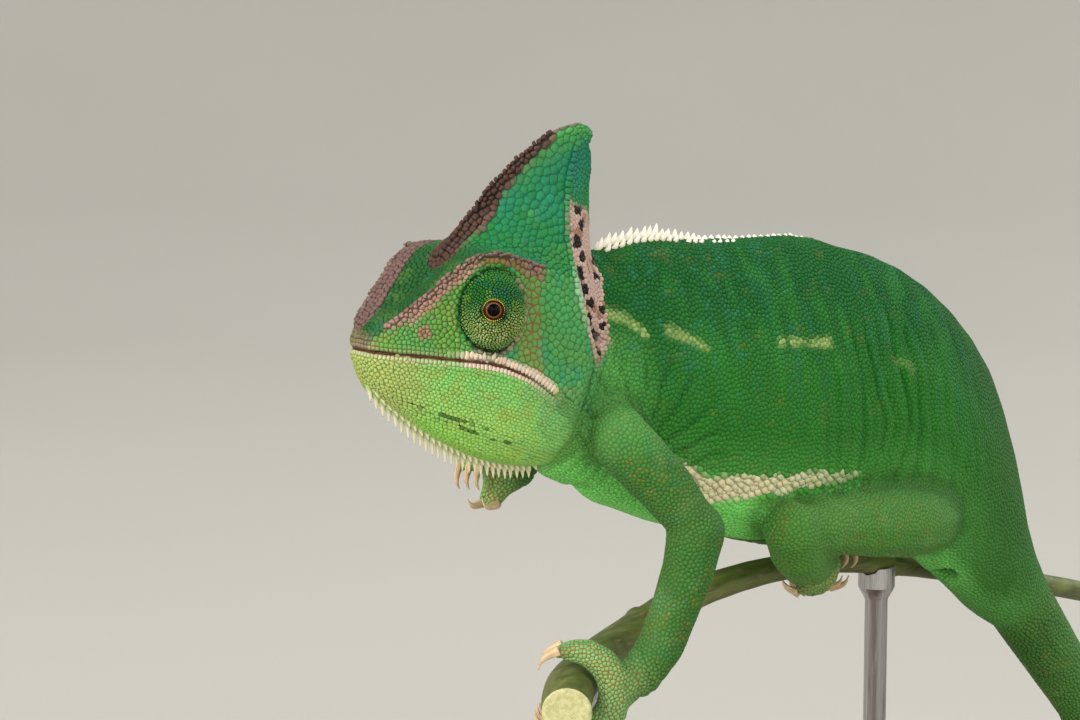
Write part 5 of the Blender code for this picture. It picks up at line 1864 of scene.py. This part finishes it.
def wire(source, output, target, entry):
    source.id_data.links.new(source.outputs[output], target.inputs[entry])


def add_bumps(source, output, shader, strength, height):
    bumps = add_node(shader.id_data, "Bump", Strength=strength, Distance=height * MM)
    wire(source, output, bumps, "Height")
    wire(bumps, 0, shader, "Normal")


def new_material(name):
    material = bpy.data.materials.new(name)
    material.use_nodes = True
    tree = material.node_tree
    return material, tree, tree.nodes["Principled BSDF"], add_node(tree, "TexCoord")


def add_ramp(tree, stops):
    ramp = tree.nodes.new("ShaderNodeValToRGB")
    for element, (position, colour) in zip(ramp.color_ramp.elements, stops):
        element.position = position
        element.color = (*colour, 1)
    return ramp


def grain_group():
    """Fine unevenness: a tone near 1 for the colour and a height for the bump."""
    group = bpy.data.node_groups.new("fine grain", "ShaderNodeTree")
    for label, kind, way in (("Vector", "Vector", "INPUT"), ("Scale", "Float", "INPUT"),
                             ("Contrast", "Float", "INPUT"), ("Tone", "Float", "OUTPUT"),
                             ("Height", "Float", "OUTPUT")):
        group.interface.new_socket(label, in_out=way, socket_type="NodeSocket" + kind)
    start, end = group.nodes.new("NodeGroupInput"), group.nodes.new("NodeGroupOutput")
    fine = add_node(group, "TexNoise", Detail=4, Roughness=0.6)
    cells = add_node(group, "TexVoronoi", feature="F1")
    for node in (fine, cells):
        wire(start, "Vector", node, "Vector")
        wire(start, "Scale", node, "Scale")
    centred = add_node(group, "Math", operation="SUBTRACT")
    centred.inputs[1].default_value = 0.5
    wire(fine, "Fac", centred, 0)
    spread = add_node(group, "Math", operation="MULTIPLY_ADD")
    spread.inputs[2].default_value = 1.0
    wire(centred, 0, spread, 0)
    wire(start, "Contrast", spread, 1)
    height = add_node(group, "Math", operation="MULTIPLY_ADD")
    height.inputs[1].default_value = -0.5
    wire(cells, "Distance", height, 0)
    wire(fine, "Fac", height, 2)
    wire(spread, 0, end, "Tone")
    wire(height, 0, end, "Height")
    return group


def painted_material(name, grain, scale, contrast, roughness, bump_height, specular, coat=0.0):
    """A finish whose colour is the mesh's own paint, broken up by fine grain."""
    material, tree, shader, place = new_material(name)
    paint = add_node(tree, "Attribute", attribute_name="paint")
    fine = add_node(tree, "Group", node_tree=grain, Scale=scale, Contrast=contrast)
    wire(place, "Object", fine, "Vector")
    mixed = add_node(tree, "VectorMath", operation="SCALE")
    wire(paint, "Color", mixed, 0)
    wire(fine, "Tone", mixed, "Scale")
    wire(mixed, 0, shader, "Base Color")
    rough = add_node(tree, "MapRange", From_Min=0.8, From_Max=1.2,
                     To_Min=roughness + 0.08, To_Max=roughness - 0.08)
    wire(fine, "Tone", rough, "Value")
    wire(rough, 0, shader, "Roughness")
    add_bumps(fine, "Height", shader, 0.6, bump_height)
    set_values(shader, Specular_IOR_Level=specular, Coat_Weight=coat, Coat_Roughness=0.03)
    return material


def streaked_material(name, dark, light, fleck, stretch, scale, roughness, bump_height,
                      metallic=0.0):
    """Bark, wood or brushed metal: streaks that run along Y or Z, with flecks."""
    material, tree, shader, place = new_material(name)
    turn = add_node(tree, "Mapping", Scale=stretch)
    wire(place, "Object", turn, "Vector")
    waves = add_node(tree, "TexNoise", Scale=scale, Detail=6, Roughness=0.6, Distortion=0.6)
    wire(turn, 0, waves, "Vector")
    ramp = add_ramp(tree, ((0.34, dark), (0.66, light)))
    wire(waves, "Fac", ramp, "Fac")
    flecks = add_node(tree, "TexNoise", Scale=scale * 3, Detail=3)
    wire(turn, 0, flecks, "Vector")
    mask = add_node(tree, "MapRange", From_Min=0.6, From_Max=0.72)
    wire(flecks, "Fac", mask, "Value")
    mix = add_node(tree, "Mix", data_type="RGBA")
    wire(mask, 0, mix, "Factor")
    wire(ramp, "Color", mix, "A")
    mix.inputs["B"].default_value = (*fleck, 1)
    wire(mix, "Result", shader, "Base Color")
    rough = add_node(tree, "MapRange", To_Min=roughness - 0.1, To_Max=roughness + 0.12)
    wire(waves, "Fac", rough, "Value")
    wire(rough, 0, shader, "Roughness")
    add_bumps(waves, "Fac", shader, 0.5, bump_height)
    set_values(shader, Metallic=metallic)
    return material


def build_materials():
    grain = grain_group()
    return {
        "skin": painted_material("living skin", grain, 1800, 0.3, 0.7, 0.05, 0.1),
        "scales": painted_material("scale horn", grain, 2600, 0.25, 0.55, 0.03, 0.14),
        "cones": painted_material("crest cones", grain, 2200, 0.2, 0.5, 0.03, 0.4),
        "eye": painted_material("wet eye", grain, 3000, 0.15, 0.25, 0.005, 0.05),
        "claw": painted_material("claw horn", grain, 1500, 0.3, 0.35, 0.02, 0.5, coat=0.2),
        "bark": streaked_material("green stem bark", swatch(70, 80, 36), swatch(112, 122, 58),
                                  swatch(134, 112, 78), (1, 0.16, 1), 700, 0.55, 0.12),
        "cut": streaked_material("cut stem end", swatch(170, 170, 110), swatch(206, 200, 150),
                                 swatch(150, 140, 92), (1, 1, 1), 1500, 0.6, 0.05),
        "wood": streaked_material("walnut board", swatch(74, 48, 34), swatch(120, 84, 58),
                                  swatch(60, 38, 28), (1, 0.07, 1), 420, 0.42, 0.03),
        "steel": streaked_material("brushed rod", swatch(150, 150, 150),
                                   swatch(190, 190, 188), swatch(170, 170, 170),
                                   (1, 1, 0.03), 3000, 0.34, 0.004, metallic=1),
    }


# ---------------------------------------------------------------- stage

FLOOR_PROFILE = ((0.5, 0), (0.9, 0), (1.2, 0.03), (1.5, 0.14), (1.75, 0.36), (1.9, 0.7),
                 (1.98, 1.2), (2, 2))


def build_floor():
    """A wide pale floor that rises softly far away on every side."""
    sides = 72
    turns = [WHOLE_TURN * number / sides for number in range(sides)]
    points = [(0.0, 0.0, 0.0)]
    for radius, up in FLOOR_PROFILE:
        points += [(radius * math.cos(turn), radius * math.sin(turn), up) for turn in turns]
    faces = fan_faces(1, sides, 0)
    faces += [face[::-1] for face in tube_faces(len(FLOOR_PROFILE), sides, 1)]
    mesh = bpy.data.meshes.new("floor")
    mesh.from_pydata(points, [], faces)
    mesh.shade_smooth()
    floor = link(bpy.data.objects.new("floor", mesh))
    material, tree, shader, place = new_material("pale floor")
    noise = add_node(tree, "TexNoise", Scale=3, Detail=2)
    wire(place, "Object", noise, "Vector")
    ramp = add_ramp(tree, ((0.0, swatch(186, 181, 171)), (1.0, swatch(194, 189, 180))))
    wire(noise, "Fac", ramp, "Fac")
    wire(ramp, "Color", shader, "Base Color")
    set_values(shader, Roughness=0.85)
    mesh.materials.append(material)


def add_light(name, place, size, power, colour, aim):
    data = bpy.data.lights.new(name, "AREA")
    data.shape = "DISK"
    data.size = size
    data.energy = power
    data.color = colour
    lamp = link(bpy.data.objects.new(name, data))
    lamp.location = place
    lamp.rotation_euler = (Vector(aim) - Vector(place)).to_track_quat("-Z", "Y").to_euler()


CAMERA_BACK = np.array((0.7002, -0.7002, 0.1392))
CAMERA_AIM = np.array((1.85, -0.89, 14.96))
CAMERA_DISTANCE = 400.0


def build_stage():
    build_floor()
    aim = (THROAT + CAMERA_AIM) * MM
    add_light("key", (-0.15, -1.25, 0.8), 0.8, 16, (1, 0.98, 0.95), aim)
    add_light("side", (1.25, -0.5, 0.62), 0.8, 7.5, (1, 0.99, 0.97), aim)
    add_light("low fill", (0.7, -1.2, 0.5), 0.5, 3.5, (1, 1, 0.97), aim)
    add_light("window", (0.35, 1.2, 0.9), 0.9, 9, (0.95, 0.98, 1), aim)
    add_light("top", (-0.3, 0.1, 1.3), 0.8, 2, (1, 1, 1), aim)
    world = bpy.data.worlds.new("studio")
    world.use_nodes = True
    sky = world.node_tree.nodes["Background"]
    sky.inputs["Color"].default_value = (0.86, 0.93, 1.0, 1)
    sky.inputs["Strength"].default_value = 0.75
    SCENE.world = world
    SCENE.view_settings.view_transform = "Standard"

    data = bpy.data.cameras.new("camera")
    data.lens = 100.0
    data.sensor_width = 36.0
    data.clip_start = 0.01
    data.clip_end = 20.0
    camera = link(bpy.data.objects.new("camera", data))
    camera.location = aim + CAMERA_BACK / norm(CAMERA_BACK) * CAMERA_DISTANCE * MM
    camera.rotation_euler = Vector(-CAMERA_BACK).to_track_quat("-Z", "Y").to_euler()
    SCENE.camera = camera


# ---------------------------------------------------------------- everything

def main():
    materials = build_materials()
    skin, search, owners = build_skin()
    surface = Surface(skin, search, owners)
    grow_coat(surface, materials["scales"])
    owner = surface.owner(surface.points)
    _colour, gap = skin_colours(surface.points, owner)
    paint_points(skin.data, gap)
    skin.data.materials.clear()
    skin.data.materials.append(materials["skin"])
    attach(skin, "root")
    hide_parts(*FLESH)
    build_crests(surface, materials["cones"])
    build_eyes(materials["eye"])
    build_claws(materials["claw"])
    build_perch(materials["bark"], materials["cut"])
    build_base(materials["wood"])
    build_rods(materials["steel"])
    build_stage()


main()
